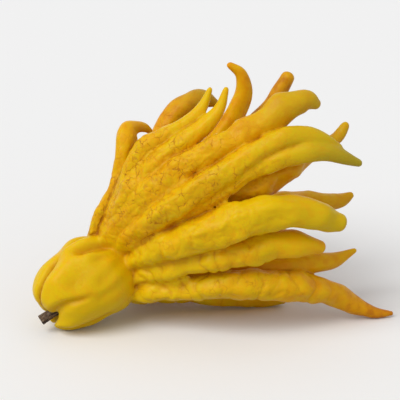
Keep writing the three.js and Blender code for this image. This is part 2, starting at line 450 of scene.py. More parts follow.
@dataclass
class Finger:
    """One finger of the fruit, which tapers along a bent centre line."""

    name: str
    growth: Growth
    points: Points  # x, y, z and half width, from the root to the tip, mm
    warmth: tuple[float, float] = (0.3, 0.3)  # from lemon to orange, at the root and at the tip
    olive: float = 0.0  # how green-brown the tip is
    net: float = 0.0  # how much cracking the rind has near the root
    net_reach: float = 0.85  # the share of the length at which the cracking has faded out
    bluntness: float = 0.9  # how far the end cap stands out, in end half widths
    around: int = 60  # points on a ring
    cap_rings: int = 9

    def seed(self) -> int:
        """Returns a number that is this finger's own."""
        return sum(place * ord(letter) for place, letter in enumerate(self.name, 1))

    def spine(self, spacing: float = 0.9) -> Spine:
        """Returns the centre line."""
        return Spine.of(self.points, spacing)

    def surface(self) -> Surface:
        """Carries an outline along the centre line.

        Each ring is a circle of the half width there, made a little oval by a cosine of twice the
        angle and ribbed by a cosine of five times it. A quarter ellipse of rings closes the tip,
        and broad noise swells the whole outwards.

        Returns:
            The closed surface of the finger.
        """
        relief, spine = self.growth.value, self.spine()
        cap = np.linspace(0, np.pi / 2, self.cap_rings + 1)[1:]
        reach = spine.radius[-1] * self.bluntness * np.sin(cap)
        end = spine.centre[-1] + reach[:, None] * spine.heading[-1]
        centre = np.vstack([spine.centre[:1], spine.centre, end])
        radius = np.concatenate([[0], spine.radius, spine.radius[-1] * np.cos(cap)])[:, None]
        share = np.concatenate([[0], spine.distance / spine.distance[-1], np.ones(len(cap))])[:, None]
        ways = (spine.heading, spine.side)
        heading, side = (np.vstack([way[:1], way, np.repeat(way[-1:], len(cap), axis=0)]) for way in ways)
        over = np.cross(heading, side)

        shift = np.random.default_rng(self.seed()).uniform(0, 2 * np.pi, 2)
        angle = np.linspace(0, 2 * np.pi, self.around, endpoint=False)[None, :]
        fade = ramp(share, 1.0, 0.7)
        oval = 0.05 * np.cos(2 * angle + shift[0])
        ribs = relief.ribs * fade * np.cos(5 * (angle + 0.8 * share) + shift[1])
        way = np.cos(angle)[..., None] * side[:, None] + np.sin(angle)[..., None] * over[:, None]
        rings = centre[:, None] + (radius * (1 + oval + ribs))[..., None] * way
        thick = np.clip(radius / 7, 0, 1.2)
        swell = relief.swelling * thick * waves(rings, length=19.0, seed=self.seed())
        return Surface.tube(rings + swell[..., None] * way)


def turned(angle: Array, middle: Array | float) -> Array:
    """Returns how far an angle lies from a middle one in degrees, in radians from -pi to pi."""
    return (angle - np.radians(middle) + np.pi) % (2 * np.pi) - np.pi


@dataclass(frozen=True)
class Groove:
    """A groove along the solid end of the fruit."""

    angles: tuple[float, float]  # degrees up from the front, where it starts and where it ends
    reach: tuple[float, float]  # where it starts and ends along the axis, mm
    depth: float  # mm, below 0 for a ridge
    width: float  # half of it, mm
    cracked: float = 0.0  # how brown the line along its middle is

    def bell(self, angle: Array, radius: Array, along: Array, width: float) -> Array:
        """A bell curve of the distance across the groove, faded where it starts and ends.

        Args:
            angle: Up from the front round the solid end's axis, in radians.
            radius: From the axis, in millimetres.
            along: The distance along the axis, in millimetres.
            width: Half the width of the bell, in millimetres.

        Returns:
            1 in the middle of the groove, and 0 well outside it.
        """
        start, end = self.reach
        share = np.clip((along - start) / (end - start), 0, 1)
        middle = self.angles[0] + share * (self.angles[1] - self.angles[0])
        bell = np.exp(-((turned(angle, middle) * radius / width) ** 2))
        return bell * ramp(along, start - 5, start + 5) * ramp(along, end + 6, end - 6)


@dataclass(frozen=True)
class Notch:
    """A place where the rim round the stem's pit is set back."""

    angle: float  # degrees up from the front
    spread: float  # degrees
    depth: float  # mm


@dataclass
class SolidEnd:
    """The lobed end of the fruit, which the stem stands in."""

    centre: Place = (-87.5, -40.0, 28.4)
    axis: Place = (34.0, 16.0, 23.0)  # from the stem to the fingers
    # half width and distance along the axis, from the floor of the pit to the far end
    upper: Points = field(default_factory=lambda: [
        (0, -19), (4.2, -19.4), (4.9, -23.5), (7, -27.5), (11, -29.6), (15.5, -28.8), (19.5, -25.8),
        (22.8, -21), (24.9, -14), (25.7, -6), (26.3, 2), (27.5, 9), (27.2, 15), (24.2, 22), (17.8, 30),
        (9, 36), (0, 38),
    ])
    lower: Points = field(default_factory=lambda: [
        (0, -19), (4.2, -19.4), (4.9, -25), (6.6, -30), (10.2, -30), (14.6, -27.4), (18.2, -24.2),
        (21.0, -19.8), (23.6, -13), (25.8, -5.3), (27.1, 2.4), (28.2, 9.6), (28.6, 16), (26.6, 23),
        (20.5, 30), (10, 36), (0, 38),
    ])
    grooves: tuple[Groove, ...] = (
        Groove((61, 80), (-31, -4), 4.0, 2.0, cracked=1.0),
        Groove((17, -4), (-32, -3), 3.4, 2.3),
        Groove((49, 56), (-20, 8), -2.2, 6.0),
        Groove((27, 25), (-10, 20), 1.8, 6.5),
        Groove((34, 22), (14, 34), 1.8, 3.0),
        Groove((44, 40), (18, 34), 1.2, 3.0),
        Groove((63, 47), (8, 30), 6.5, 4.0),
        Groove((78, 66), (2, 26), -2.6, 4.5),
        Groove((88, 94), (8, 28), 3.4, 3.5),
        Groove((4, 8), (6, 31), 1.6, 4.0),
        Groove((-12, -17), (-14, 22), 0.9, 3.2),
        Groove((-62, -58), (-32, 4), 2.8, 3.0),
        Groove((-112, -112), (-32, 4), 2.8, 3.0),
        Groove((125, 128), (-32, -2), 2.8, 3.0),
        Groove((178, 176), (-32, 0), 2.6, 3.0),
        Groove((150, 146), (0, 28), 1.2, 5.0),
        Groove((222, 226), (4, 28), 1.2, 5.0),
    )
    notches: tuple[Notch, ...] = (
        Notch(5, 14, 6.5), Notch(-18, 16, 4.0), Notch(38, 22, 1.8), Notch(66, 8, 1.5),
        Notch(-62, 9, 2.0), Notch(-112, 9, 2.0), Notch(125, 9, 2.0), Notch(178, 9, 2.0),
    )
    pit_drop: float = 3.2  # how far the pit lies below the axis, mm
    crack_width: float = 0.9  # half the width of the brown line in a groove, mm
    darkest: float = 5.0  # how deep a groove is where its painted shade is darkest, mm
    # the look of the rind, as on a finger
    growth: Growth = Growth.TAUT
    warmth: tuple[float, float] = (-0.05, 0.05)
    olive: float = 0.0
    net: float = 0.0
    net_reach: float = 1.0
    around: int = 320
    rings: int = 240

    def directions(self) -> tuple[Array, Array, Array]:
        """The ways that places on the solid end are measured along.

        Returns:
            The axis, the way to the front across it, and the way up across it.
        """
        axis = unit(np.array(self.axis))
        front = np.array([0.0, -1.0, 0.0])
        front = unit(front - axis * (front @ axis))
        return axis, front, np.cross(front, axis)

    def spine(self, spacing: float = 0.9) -> Spine:
        """The middle of the axis, with the half width that the solid end has on average.

        Args:
            spacing: How far apart the places are, in millimetres.

        Returns:
            The spine.
        """
        centre, axis = np.array(self.centre), self.directions()[0]
        rows = [(*(centre + along * axis), r) for along, r in ((-22, 21), (-5, 26), (10, 27), (24, 23))]
        return Spine.of(rows, spacing)

    def surface(self) -> Surface:
        """Turns a profile round the axis.

        The profile at each angle lies between the lower and the upper one by the sine of the
        angle. Each groove takes off its depth times a bell curve of the distance across it, and
        each notch moves the rim in by its depth times a bell curve of the angle.

        Returns:
            The closed surface of the solid end.
        """
        axis, front, above = self.directions()
        knots = np.arange(len(self.upper), dtype=float)
        where = np.linspace(0, knots[-1], self.rings)
        sides = (np.array(side, dtype=float) for side in (self.upper, self.lower))
        high, low = (through(knots, side, where) for side in sides)
        angle = np.linspace(np.pi, -np.pi, self.around, endpoint=False)[None, :]
        blend = ((1 + np.sin(angle)) / 2)[..., None]
        profile = low[:, None] * (1 - blend) + high[:, None] * blend
        radius, along = np.maximum(profile[..., 0], 0), profile[..., 1]
        lip = ramp(where[:, None], 2.5, 4.5)
        cut = np.zeros_like(radius)
        for groove in self.grooves:
            cut += groove.depth * groove.bell(angle, radius, along, groove.width)
        for notch in self.notches:
            bell = np.exp(-((turned(angle, notch.angle) / np.radians(notch.spread)) ** 2))
            along = along + notch.depth * bell * ramp(along, -6, -26) * ramp(where[:, None], 0.9, 2.5)
        radius = np.maximum(radius - cut * lip, 0)
        way = np.cos(angle)[..., None] * front + np.sin(angle)[..., None] * above
        rings = np.array(self.centre) + along[..., None] * axis + radius[..., None] * way
        rings -= (self.pit_drop * ramp(where, 6.0, 2.5))[:, None, None] * above
        thick = np.clip(radius / 12, 0, 1)
        swell = self.growth.value.swelling * lip * thick * waves(rings, length=22.0, seed=71)
        return Surface.tube(rings + swell[..., None] * way)

    def marks(self, points: Array) -> tuple[Array, Array]:
        """Where the grooves mark the rind.

        Args:
            points: Places, one in a row.

        Returns:
            How brown the lines along some grooves are at each point, and how deep in a groove the
            point lies, which sets painted shade, both from 0 to 1.
        """
        offset = points - np.array(self.centre)
        along, front, above = (offset @ way for way in self.directions())
        angle, radius = np.arctan2(above, front), np.hypot(above, front)
        cracked, depth = np.zeros(len(points)), np.zeros(len(points))
        for groove in self.grooves:
            cracked += groove.cracked * groove.bell(angle, radius, along, self.crack_width)
            depth += groove.depth * groove.bell(angle, radius, along, groove.width)
        return cracked, np.clip(depth / self.darkest, 0, 1)


@dataclass
class Palm:
    """The mass inside the hand, where the fingers part: an ellipsoid along the solid end's axis."""

    centre: Place = (-45.0, -22.0, 50.0)
    radii: tuple[float, float] = (34.0, 20.0)  # along and across the axis
    around: int = 60
    rings: int = 40

    def surface(self, axis: Array) -> Surface:
        """Turns a half ellipse round the axis: the sine and cosine of an angle times the radii.

        Args:
            axis: The way the ellipsoid is longest, at length one.

        Returns:
            The closed surface of the palm.
        """
        side = unit(np.cross(axis, [0.0, 0.0, 1.0]))
        over = np.cross(axis, side)
        height = np.linspace(-np.pi / 2, np.pi / 2, self.rings)[:, None, None]
        angle = np.linspace(0, 2 * np.pi, self.around, endpoint=False)[None, :, None]
        way = np.cos(angle) * side + np.sin(angle) * over
        rings = self.radii[0] * np.sin(height) * axis + self.radii[1] * np.cos(height) * way
        return Surface.tube(np.array(self.centre) + rings)


FINGERS: list[Finger] = [
    # the front of the hand, from the table upwards
    Finger("long_low", Growth.BANDED, [
        (-64, -36, 23.5, 2.8), (-56, -40, 23.6, 5.4), (-50.5, -42, 24.8, 6.5), (-42.5, -45.5, 26.6, 6.7),
        (-29.5, -49.5, 29.3, 6.9), (-17, -52, 31.5, 7.7), (6, -57, 36.5, 9.1), (30.5, -55, 35.2, 9.6),
        (54.5, -48, 30.8, 9.8), (78.7, -35, 19.6, 8.0), (100, -30, 6.3, 5.1), (110, -29.2, 3.4, 3.1),
        (118.3, -28.5, 2.9, 1.5),
    ], warmth=(-0.1, 1.0), net=0.3, bluntness=1.0),
    Finger("short_lower", Growth.BANDED, [
        (-64, -36, 33.5, 2.6), (-55.5, -40, 35.4, 4.9), (-50.5, -43, 36.9, 5.5), (-42.5, -47.5, 39.2, 5.7),
        (-29.5, -54, 45.0, 6.2), (-10, -61, 53.2, 7.1), (12, -62, 59.3, 8.5), (34, -60, 64.4, 9.2),
        (55, -57, 64.4, 7.3), (66.3, -54, 61.2, 4.3),
    ], warmth=(-0.1, 0.35), net=0.15),
    Finger("stout_middle", Growth.RIBBED, [
        (-64, -36, 42, 3.0), (-56, -42, 46, 4.6), (-50, -46.5, 49.8, 5.8), (-43.5, -50.5, 54.9, 7.6),
        (-35.5, -55, 60.3, 8.9), (-22.5, -61, 67.8, 10.2), (-10, -65, 74.4, 11.1), (14, -67, 83, 12),
        (36, -65, 89, 10.8), (58, -61, 86, 9.0), (71.5, -57, 80.5, 7.9), (77.5, -56, 79, 5.8),
    ], warmth=(0.0, 0.1), olive=0.25, net=0.2),
    Finger("double_upper", Growth.LUMPY, [
        (-66, -34, 50.5, 4.8), (-60, -39, 57.5, 7.0), (-48, -49, 72, 8.2), (-29, -60, 89, 9.1),
        (-10, -62, 103, 9), (9, -61, 115, 8.3), (27, -58, 127, 7.7), (46, -54, 133.6, 7.5),
        (65, -51, 131, 6.0), (76, -50, 126, 3.2),
    ], warmth=(0.2, 0.05), olive=0.4, net=0.75),
    Finger("double_lower", Growth.LUMPY, [
        (-50.5, -46, 64.8, 6.1), (-42, -50, 71.9, 6.2), (-32.3, -53, 78.8, 6.6), (-22.7, -55, 84.6, 7.5),
        (-13.2, -56.5, 89.9, 7.5), (-3.8, -57.5, 96.3, 7.2), (5.5, -58.5, 102.6, 6.8), (17, -59, 112, 6.8),
        (36, -58, 121, 7.1), (57, -56, 126, 7.4), (74, -53, 123, 5.9), (89.5, -50, 116.2, 2.5),
    ], warmth=(0.2, 0.15), olive=0.9, net=0.6),
    Finger("stout_upper", Growth.LUMPY, [
        (-71, -33, 55, 7.4), (-61, -41, 72, 7.7), (-44, -50, 94, 7.8), (-23, -52, 112, 8.4),
        (3, -50, 127, 8.5), (30, -43, 140.6, 9.0), (46, -39, 150.4, 8.7), (58, -36, 153, 5.9),
        (63, -35, 150, 3),
    ], warmth=(0.25, 0.45), olive=0.45, net=0.8),
    Finger("slender_right", Growth.LUMPY, [
        (-67, -37, 62, 6.5), (-54, -43, 92, 6.4), (-38, -44, 115, 5.7), (-18.5, -40, 128, 6.2),
        (-5.2, -37, 138.5, 5.6), (2.3, -35, 147.5, 4), (6.3, -33, 159.3, 1.9),
    ], warmth=(0.2, 0.05), net=1.0),
    Finger("slender_left", Growth.LUMPY, [
        (-69.5, -33, 63, 7.0), (-56.5, -37, 99, 6.2), (-49, -36, 116, 6.6), (-43, -35, 123.5, 6.6),
        (-34, -34, 128.5, 5.5), (-21, -31, 135.3, 4.7), (-9.5, -29, 145.0, 3.8), (-3.8, -27, 157.5, 1.9),
    ], warmth=(0.2, 0.05), net=0.9),
    Finger("crown_pad", Growth.LUMPY, [
        (-70.6, -33, 65.3, 5.2), (-63.5, -38, 78.3, 7.1), (-55.4, -41.5, 90.5, 9.3), (-50.1, -42.5, 99, 8.9),
        (-44.7, -41.5, 105.7, 6.3),
    ], warmth=(0.25, 0.2), net=1.0, net_reach=2.0),
    # the back of the hand that rises over the front
    Finger("back_hook", Growth.LUMPY, [
        (-80, -33, 46, 4.4), (-80.5, -31, 55.4, 4.1), (-78.4, -31, 66.6, 3.9), (-74.5, -31, 77.7, 4.2),
        (-66.1, -30, 91.1, 4.3), (-61.8, -28, 104.1, 4.4), (-59.5, -25, 115.3, 5.5),
        (-57.7, -21, 121.8, 7.1), (-56.3, -16, 126.3, 6.5), (-51.6, -11, 127.5, 4.2),
        (-46.4, -6, 125.8, 3.2), (-42.7, -1, 121.7, 2.1),
    ], warmth=(0.1, 0.6), net=0.8),
    Finger("back_arc", Growth.SMOOTH, [
        (-64, -15, 68, 8), (-51, -5, 89, 8), (-41, 3, 106, 7.8), (-29, 11, 127.2, 8.1),
        (-17.5, 16, 136.2, 8.1), (-7.5, 20, 138, 6.5), (0.5, 22, 134.5, 2.8),
    ], warmth=(0.35, 0.9), olive=0.65, net=0.9),
    Finger("tall_curl", Growth.SMOOTH, [
        (-57, -15, 65, 6.6), (-30, 2, 83, 6.7), (-1.4, 13, 109, 6.5), (13.7, 19, 128, 7.0),
        (19.4, 21, 145, 5.5), (16.6, 20, 156, 3.8), (9.6, 19, 161.5, 2.4),
    ], warmth=(0.55, 0.6)),
    Finger("tall_blunt", Growth.SMOOTH, [
        (-54, -15, 61, 6), (-27, 8, 78, 6.1), (6, 25, 103, 6.1), (39.5, 31, 131.8, 5.7),
        (45, 33, 141, 5.4), (49.2, 34, 149, 4.7),
    ], warmth=(0.65, 0.8), olive=0.2),
    # the middle of the hand
    Finger("middle_upper", Growth.RIBBED, [
        (-59, -27, 47.7, 7.3), (-36, -34, 66.4, 7.9), (-11, -41, 83, 8.5), (11.7, -46, 94.4, 9.5),
        (29.5, -45, 102.9, 10.3), (47.8, -38, 110.8, 8.9), (62.6, -27, 117.9, 5.6), (78.7, -18, 123.2, 4.2),
        (83.8, -15.5, 130.1, 3.1),
    ], warmth=(0.4, 0.5), olive=0.3, net=0.2),
    Finger("middle_right", Growth.RIBBED, [
        (-60, -20, 42, 6.7), (-31, -17, 54.5, 7.3), (-1, -16, 66.3, 7.7), (26, -14, 74, 8),
        (51, -9, 75.3, 7.7), (71, -4, 73.4, 7.1), (84.3, 0, 73, 4.8), (91.2, 2, 76.2, 2.5),
    ], warmth=(0.3, 0.5), olive=0.25),
    Finger("middle_lower", Growth.SMOOTH, [
        (-60, -25, 31, 6), (-24, -33, 34.4, 6.3), (15.7, -38, 39.2, 6.7), (45.2, -36, 40.8, 7),
        (64.2, -31, 40.7, 7.2), (80.3, -23, 39.8, 5.0), (93, -17, 43.6, 2.0),
    ], warmth=(0.4, 0.45)),
    Finger("underside", Growth.BANDED, [
        (-62, -31, 25, 6.6), (-51.5, -28, 16.3, 7.3), (-40, -22, 14.5, 6.8), (-20, -17, 12, 7),
        (4, -14, 9, 7), (23, -12, 7, 6.9), (39, -11, 5.8, 5.7), (46, -11, 5, 3.6),
    ], warmth=(0.2, 0.3)),
    # inside the hand
    Finger("inner_high", Growth.SMOOTH, [
        (-55, -20, 60, 7.5), (-30, -8, 76, 7.5), (-3, 4, 88, 7), (22, 12, 98, 6), (42, 15, 108, 4),
        (51, 14, 115, 2.2),
    ], warmth=(0.85, 0.7)),
    Finger("inner_low", Growth.SMOOTH, [
        (-58, -22, 40, 7), (-30, -8, 43, 7.5), (0, 6, 44, 7.5), (28, 14, 43, 6.5), (50, 17, 41, 4.5),
        (61, 17, 38.5, 2.4),
    ], warmth=(0.8, 0.6), olive=0.3),
    # the back of the hand, from the top down to the table
    Finger("rear_crest", Growth.RIBBED, [
        (-73, -24, 50, 6.5), (-60, 6, 76, 7.5), (-46, 25, 96, 7.5), (-30, 37, 112, 6.5), (-18, 39, 122, 4),
        (-13, 36, 126, 2.2),
    ], warmth=(0.5, 0.6), net=0.4),
    Finger("rear_high", Growth.LUMPY, [
        (-76, -22, 42, 6.5), (-69, 10, 60, 8), (-60, 32, 76, 7.5), (-48, 46, 92, 6.5), (-38, 50, 103, 4.5),
        (-29, 49, 106, 2.4),
    ], warmth=(0.4, 0.3), olive=0.3, net=0.7),
    Finger("rear_upper", Growth.LUMPY, [
        (-70, -17, 44, 6.5), (-54, 22, 60, 8.3), (-37, 46, 76, 8.5), (-22, 57, 88, 7), (-12, 60, 96, 4.8),
        (-6, 58, 99, 2.5),
    ], warmth=(0.35, 0.25), olive=0.2, net=0.6),
    Finger("rear_outer", Growth.RIBBED, [
        (-68, -18, 41, 6.5), (-43, 28, 52, 9), (-18, 52, 62, 10.5), (8, 65, 70, 11), (28, 70, 73, 9),
        (38, 72, 72, 4.6),
    ], warmth=(0.2, 0.2), olive=0.4, net=0.3),
    Finger("rear_inner", Growth.SMOOTH, [
        (-59, -15, 43, 7), (-34, 14, 53, 7.5), (-6, 30, 66, 7), (20, 38, 80, 6.5), (40, 41, 92, 4.8),
        (51, 40, 100, 2.4),
    ], warmth=(0.75, 0.6)),
    Finger("rear_middle", Growth.BANDED, [
        (-66, -19, 37, 6.5), (-36, 28, 36, 9), (-10, 51, 38, 10), (14, 64, 42, 9.5), (30, 68, 48, 7),
        (39, 67, 55, 3.2),
    ], warmth=(0.2, 0.35), olive=0.3, net=0.2),
    Finger("rear_lower", Growth.BANDED, [
        (-66, -20, 33, 6.5), (-38, 24, 24, 8.5), (-13, 47, 18, 9.5), (12, 61, 16, 8.5), (30, 68, 19, 5.5),
        (38, 68, 25, 2.5),
    ], warmth=(0.3, 0.5), net=0.3),
    Finger("rear_right", Growth.RIBBED, [
        (-64, -21, 33, 6.5), (-31, 9, 27, 8), (-2, 26, 25, 9), (27, 37, 26, 8.5), (46, 44, 26, 6),
        (59, 51, 24, 2.6),
    ], warmth=(0.5, 0.6)),
    Finger("rear_foot", Growth.SMOOTH, [
        (-66, -22, 29, 6.5), (-38, 12, 17, 8.5), (-12, 28, 10, 9.5), (14, 38, 8.6, 8.8), (30, 42, 7, 6.5),
        (37, 42, 6.5, 4),
    ], warmth=(0.4, 0.5)),
    Finger("rear_thumb", Growth.RIBBED, [
        (-70, -26, 27, 6.5), (-57, 6, 17, 8.5), (-44, 24, 11, 8.5), (-30, 33, 9, 7.5), (-20, 34, 12, 5),
        (-15, 30.5, 15.5, 2.7),
    ], warmth=(0.3, 0.5), olive=0.2, net=0.2),
]


@dataclass(frozen=True)
class Web:
    """Flesh that still joins two neighbouring fingers for some way from the root."""

    first: str
    second: str
    reach: float  # share of the first finger that it joins
    fill: float  # half width, as a share of the thinner finger's

    def surface(self, fingers: dict[str, Finger]) -> Surface:
        """A tube half way between the first finger's places and the nearest ones of the second.

        Args:
            fingers: The fingers, by name.

        Returns:
            The closed surface of the web.
        """
        one, two = (fingers[name].spine(spacing=1.5) for name in (self.first, self.second))
        gaps = np.linalg.norm(one.centre[:, None] - two.centre[None], axis=-1)
        partner = gaps.argmin(axis=1)
        centre = (one.centre + two.centre[partner]) / 2
        radius = self.fill * np.minimum(one.radius, two.radius[partner])
        kept = slice(0, int(self.reach * len(centre)), 4)
        points = [tuple(row) for row in np.column_stack([centre, radius])[kept]]
        points[-1] = (*points[-1][:3], 0.5 * points[-1][3])
        return Finger(f"{self.first}_web", Growth.SMOOTH, points, around=40).surface()


WEBS: tuple[Web, ...] = (
    Web("long_low", "short_lower", 0.3, 0.6),
    Web("short_lower", "stout_middle", 0.62, 0.55),
    Web("stout_middle", "double_lower", 0.38, 0.5),
    Web("double_upper", "stout_upper", 0.5, 0.6),
    Web("stout_upper", "slender_right", 0.5, 0.75),
    Web("slender_right", "slender_left", 0.5, 0.75),
)


# ---- the rind of the whole fruit ---------------------------------------------------------------


@dataclass
class Rind:
    """The skin of the whole fruit: the solid end, the palm and the fingers, grown into one."""

    solid_end: SolidEnd = field(default_factory=SolidEnd)
    palm: Palm = field(default_factory=Palm)
    fingers: list[Finger] = field(default_factory=lambda: FINGERS)
    webs: tuple[Web, ...] = WEBS
    voxel: float = 0.85  # mm, between neighbouring points
    rounding: int = 7  # rounds that smooth the places where parts meet
    root_rounding: int = 12  # rounds more that fill the creases near the roots of the fingers
    border_rounding: int = 4  # rounds more that fill the creases where two parts meet
    root_middle: Place = (-58.0, -40.0, 86.0)
    root_reach: tuple[float, float] = (40.0, 22.0)  # mm from there: where the filling starts and is full
    lump_size: float = 8.5  # mm, across the finger
    lump_stretch: float = 1.35  # how much longer a lump is along the finger
    band_spacing: tuple[float, float] = (8.0, 12.0)  # mm, from one crease across a finger to the next
    cleft: str = "back_hook"  # the finger whose root a deep crack runs along
    gap: float = 100.0  # mm, which keeps the numbers of one part apart from the next part's
    most_triangles: int = 190_000

    def parts(self) -> list[SolidEnd | Finger]:
        """Returns the parts that give the rind its look: the solid end and the fingers."""
        return [self.solid_end, *self.fingers]

    def grown_together(self) -> Surface:
        """One closed surface round all the parts.

        The parts' surfaces cross each other, and a grid of small cubes keeps only the outside of
        them all. Each point then moves towards its neighbours' mean, fastest in the creases. More
        rounds of it, outwards only, fill the creases near the roots of the fingers.

        Returns:
            The surface.
        """
        palm = self.palm.surface(self.solid_end.directions()[0])
        named = {finger.name: finger for finger in self.fingers}
        webs = [web.surface(named) for web in self.webs]
        whole = Surface.joined([palm, *webs, *(part.surface() for part in self.parts())])
        mesh = modified(whole.mesh("hand"), "REMESH", mode="VOXEL", voxel_size=self.voxel * MM)
        skin = Surface.taken_from(mesh).largest_shell()
        near = Neighbours(skin)
        for _ in range(self.rounding):
            move = near.mean(skin.points) - skin.points
            inward = (move * skin.normals()).sum(axis=1)
            share = 0.35 + 0.15 * ramp(inward, 0.0, 0.12)
            skin.points = skin.points + share[:, None] * move
        distance = np.linalg.norm(skin.points - np.array(self.root_middle), axis=1)
        return self.filled(skin, near, ramp(distance, *self.root_reach), self.root_rounding)

    def filled(self, skin: Surface, near: Neighbours, where: Array, rounds: int) -> Surface:
        """Moves points outwards to their neighbours' mean, which fills the creases.

        Args:
            skin: The surface, which is changed.
            near: Its edges.
            where: How much each point may move, from 0 to 1.
            rounds: How many times they move.

        Returns:
            The same surface.
        """
        for _ in range(rounds):
            move = near.mean(skin.points) - skin.points
            inward = (move * skin.normals()).sum(axis=1)
            skin.points = skin.points + (0.8 * where * ramp(inward, 0.0, 0.03))[:, None] * move
        return skin

    def belonging(self, points: Array) -> tuple[Whole, Array, Array]:
        """Which part each point is on, and where on it.

        It is the part with the place on its spine whose squared distance, less the squared half
        width there, is the least. The place then slides along the spine, a few times, by as much
        as the point lies ahead of it.

        Args:
            points: Places, one in a row.

        Returns:
            The part's number, the place's distance from the root as a share of the part's length,
            and the point as if the spine were straight: how far along it, and how far across it
            both ways, in millimetres.
        """
        spines = [part.spine(spacing=2.5) for part in self.parts()]
        centre = np.vstack([spine.centre for spine in spines])
        frames = np.vstack([np.hstack([spine.centre, spine.heading, spine.side]) for spine in spines])
        radius = np.concatenate([spine.radius for spine in spines])
        distance = np.concatenate([spine.distance for spine in spines])
        length = np.array([spine.distance[-1] for spine in spines])
        number = np.repeat(np.arange(len(spines)), [len(spine.distance) for spine in spines])
        weight = (centre**2).sum(axis=1) - radius**2
        blocks = np.array_split(points, len(points) // 8000 + 1)
        nearest = np.concatenate([(weight - 2 * block @ centre.T).argmin(axis=1) for block in blocks])
        part = number[nearest]

        start = np.concatenate([[0], np.cumsum(length + self.gap)])[:-1]
        track, along = start[number] + distance, distance[nearest]
        for _ in range(4):
            held = np.clip(along, 0, length[part])
            here = np.stack([np.interp(start[part] + held, track, column) for column in frames.T], axis=1)
            offset, ahead, across = points - here[:, :3], unit(here[:, 3:6]), unit(here[:, 6:])
            along = held + (offset * ahead).sum(axis=1)
        over = (offset * np.cross(ahead, across)).sum(axis=1)
        straight = np.stack([along, (offset * across).sum(axis=1), over], axis=1)
        return part, np.clip(along / length[part], 0, 1), straight

    @staticmethod
    def borders(near: Neighbours, part: Whole, rounds: int = 2) -> Array:
        """Returns 1 where two parts meet, fading to 0 over some rounds of neighbours, for each point."""
        other = np.bincount(near.here, part[near.here] != part[near.there], near.size) / near.count
        return np.clip(4 * near.blurred(other, rounds), 0, 1)

    def lumps(self, points: Array, part: Whole, straight: Array, border: Array) -> tuple[Array, Array]:
        """The lumps of the rind, which are cells of a random foam, stretched along the finger.

        The height is a smooth step of the distance from the cell's wall. A finer foam adds small
        lumps. Where two parts meet, the height falls to that of a wall.

        Args:
            points: Places, one in a row.
            part: The number of the part that each is on.
            straight: The points as if the part's spine were straight.
            border: 1 where two parts meet.

        Returns:
            The height of the lumps, mostly between -1 and 1, and how near the wall each point is,
            from 0 to 1.
        """
        bend = np.stack([waves(points, length=11.0, seed=seed) for seed in (31, 32, 33)], axis=1)
        place = straight * (1 / self.lump_stretch, 1, 1) + 2 * self.gap * part[:, None] + 1.3 * bend
        walls = cell_walls(place, self.lump_size, seed=5)
        small_walls = cell_walls(place, self.lump_size / 2.4, seed=6)
        height = ramp(walls, 0.0, 0.3 * self.lump_size)
        height += 0.15 * ramp(small_walls, 0.0, 0.14 * self.lump_size)
        height = (height - 0.85) * (1 - border) - 0.5 * border
        height += 0.25 * waves(points, length=15.0, seed=34)
        nearness = np.maximum(ramp(walls, 1.1, 0.1), 0.5 * ramp(small_walls, 0.8, 0.0))
        return height, nearness * (1 - border)

    def bands(self, points: Array, part: Whole, straight: Array) -> tuple[Array, Array]:
        """The swellings between creases across a finger, in patches.

        The height is a power of the size of a sine of the distance along the finger, bent by noise.

        Args:
            points: Places, one in a row.
            part: The number of the part that each is on.
            straight: The points as if the part's spine were straight.

        Returns:
            The height, from -0.8 in a crease to 0.2, and how near the crease each point is, from 0
            to 1.
        """
        spacing = np.random.default_rng(8).uniform(*self.band_spacing, len(self.parts()))[part]
        turn = straight[:, 0] / spacing + 0.3 * waves(points, length=17.0, seed=35)
        size = np.abs(np.sin(np.pi * turn))
        clear = ramp(waves(points, length=23.0, seed=36), -0.9, 0.3)
        return (size**0.7 - 0.8) * clear, ramp(size, 0.3, 0.0) * clear

    def relief(self, share: Array, part: Whole) -> Array:
        """How high the lumps and the bands stand, which fades towards both ends of a finger.

        Args:
            share: Each point's distance from the root, as a share of the part's length.
            part: The number of the part that each point is on.

        Returns:
            The two heights for each point, in millimetres.
        """
        kinds = [kind.growth.value for kind in self.parts()]
        heights = np.array([(kind.pillows, kind.bands) for kind in kinds])[part]
        return heights * (ramp(share, 1.0, 0.5) * ramp(share, 0.02, 0.16))[:, None]

    def roughened(self, skin: Surface) -> Surface:
        """Raises lumps and sinks creases in the skin.

        Args:
            skin: The surface, which is changed.

        Returns:
            The same surface.
        """
        near = Neighbours(skin)
        part, share, straight = self.belonging(skin.points)
        border = self.borders(near, part)
        beside = self.borders(near, part == 0, rounds=4)
        skin = self.filled(skin, near, border * (1 - beside), self.border_rounding)
        pillows, bands = near.blurred(self.relief(share, part), 10).T
        lumps = self.lumps(skin.points, part, straight, border)[0]
        bulge = self.bands(skin.points, part, straight)[0] * (1 - self.borders(near, part, rounds=4))
        height = near.blurred(pillows * lumps + bands * bulge, 1)
        skin.points = skin.points + height[:, None] * skin.normals()
        return skin

    def thinned(self, skin: Surface) -> Surface:
        """Leaves out points where the skin is plain, and presses what hangs below the table flat on it.

        Args:
            skin: The surface.

        Returns:
            A new surface, of triangles.
        """
        ratio = min(1.0, self.most_triangles / (2 * len(skin.points)))
        mesh = modified(skin.mesh("skin"), "DECIMATE", ratio=ratio, use_collapse_triangulate=True)
        thin = Surface.taken_from(mesh)
        thin.points[:, 2] = np.maximum(thin.points[:, 2], 0)
        return thin

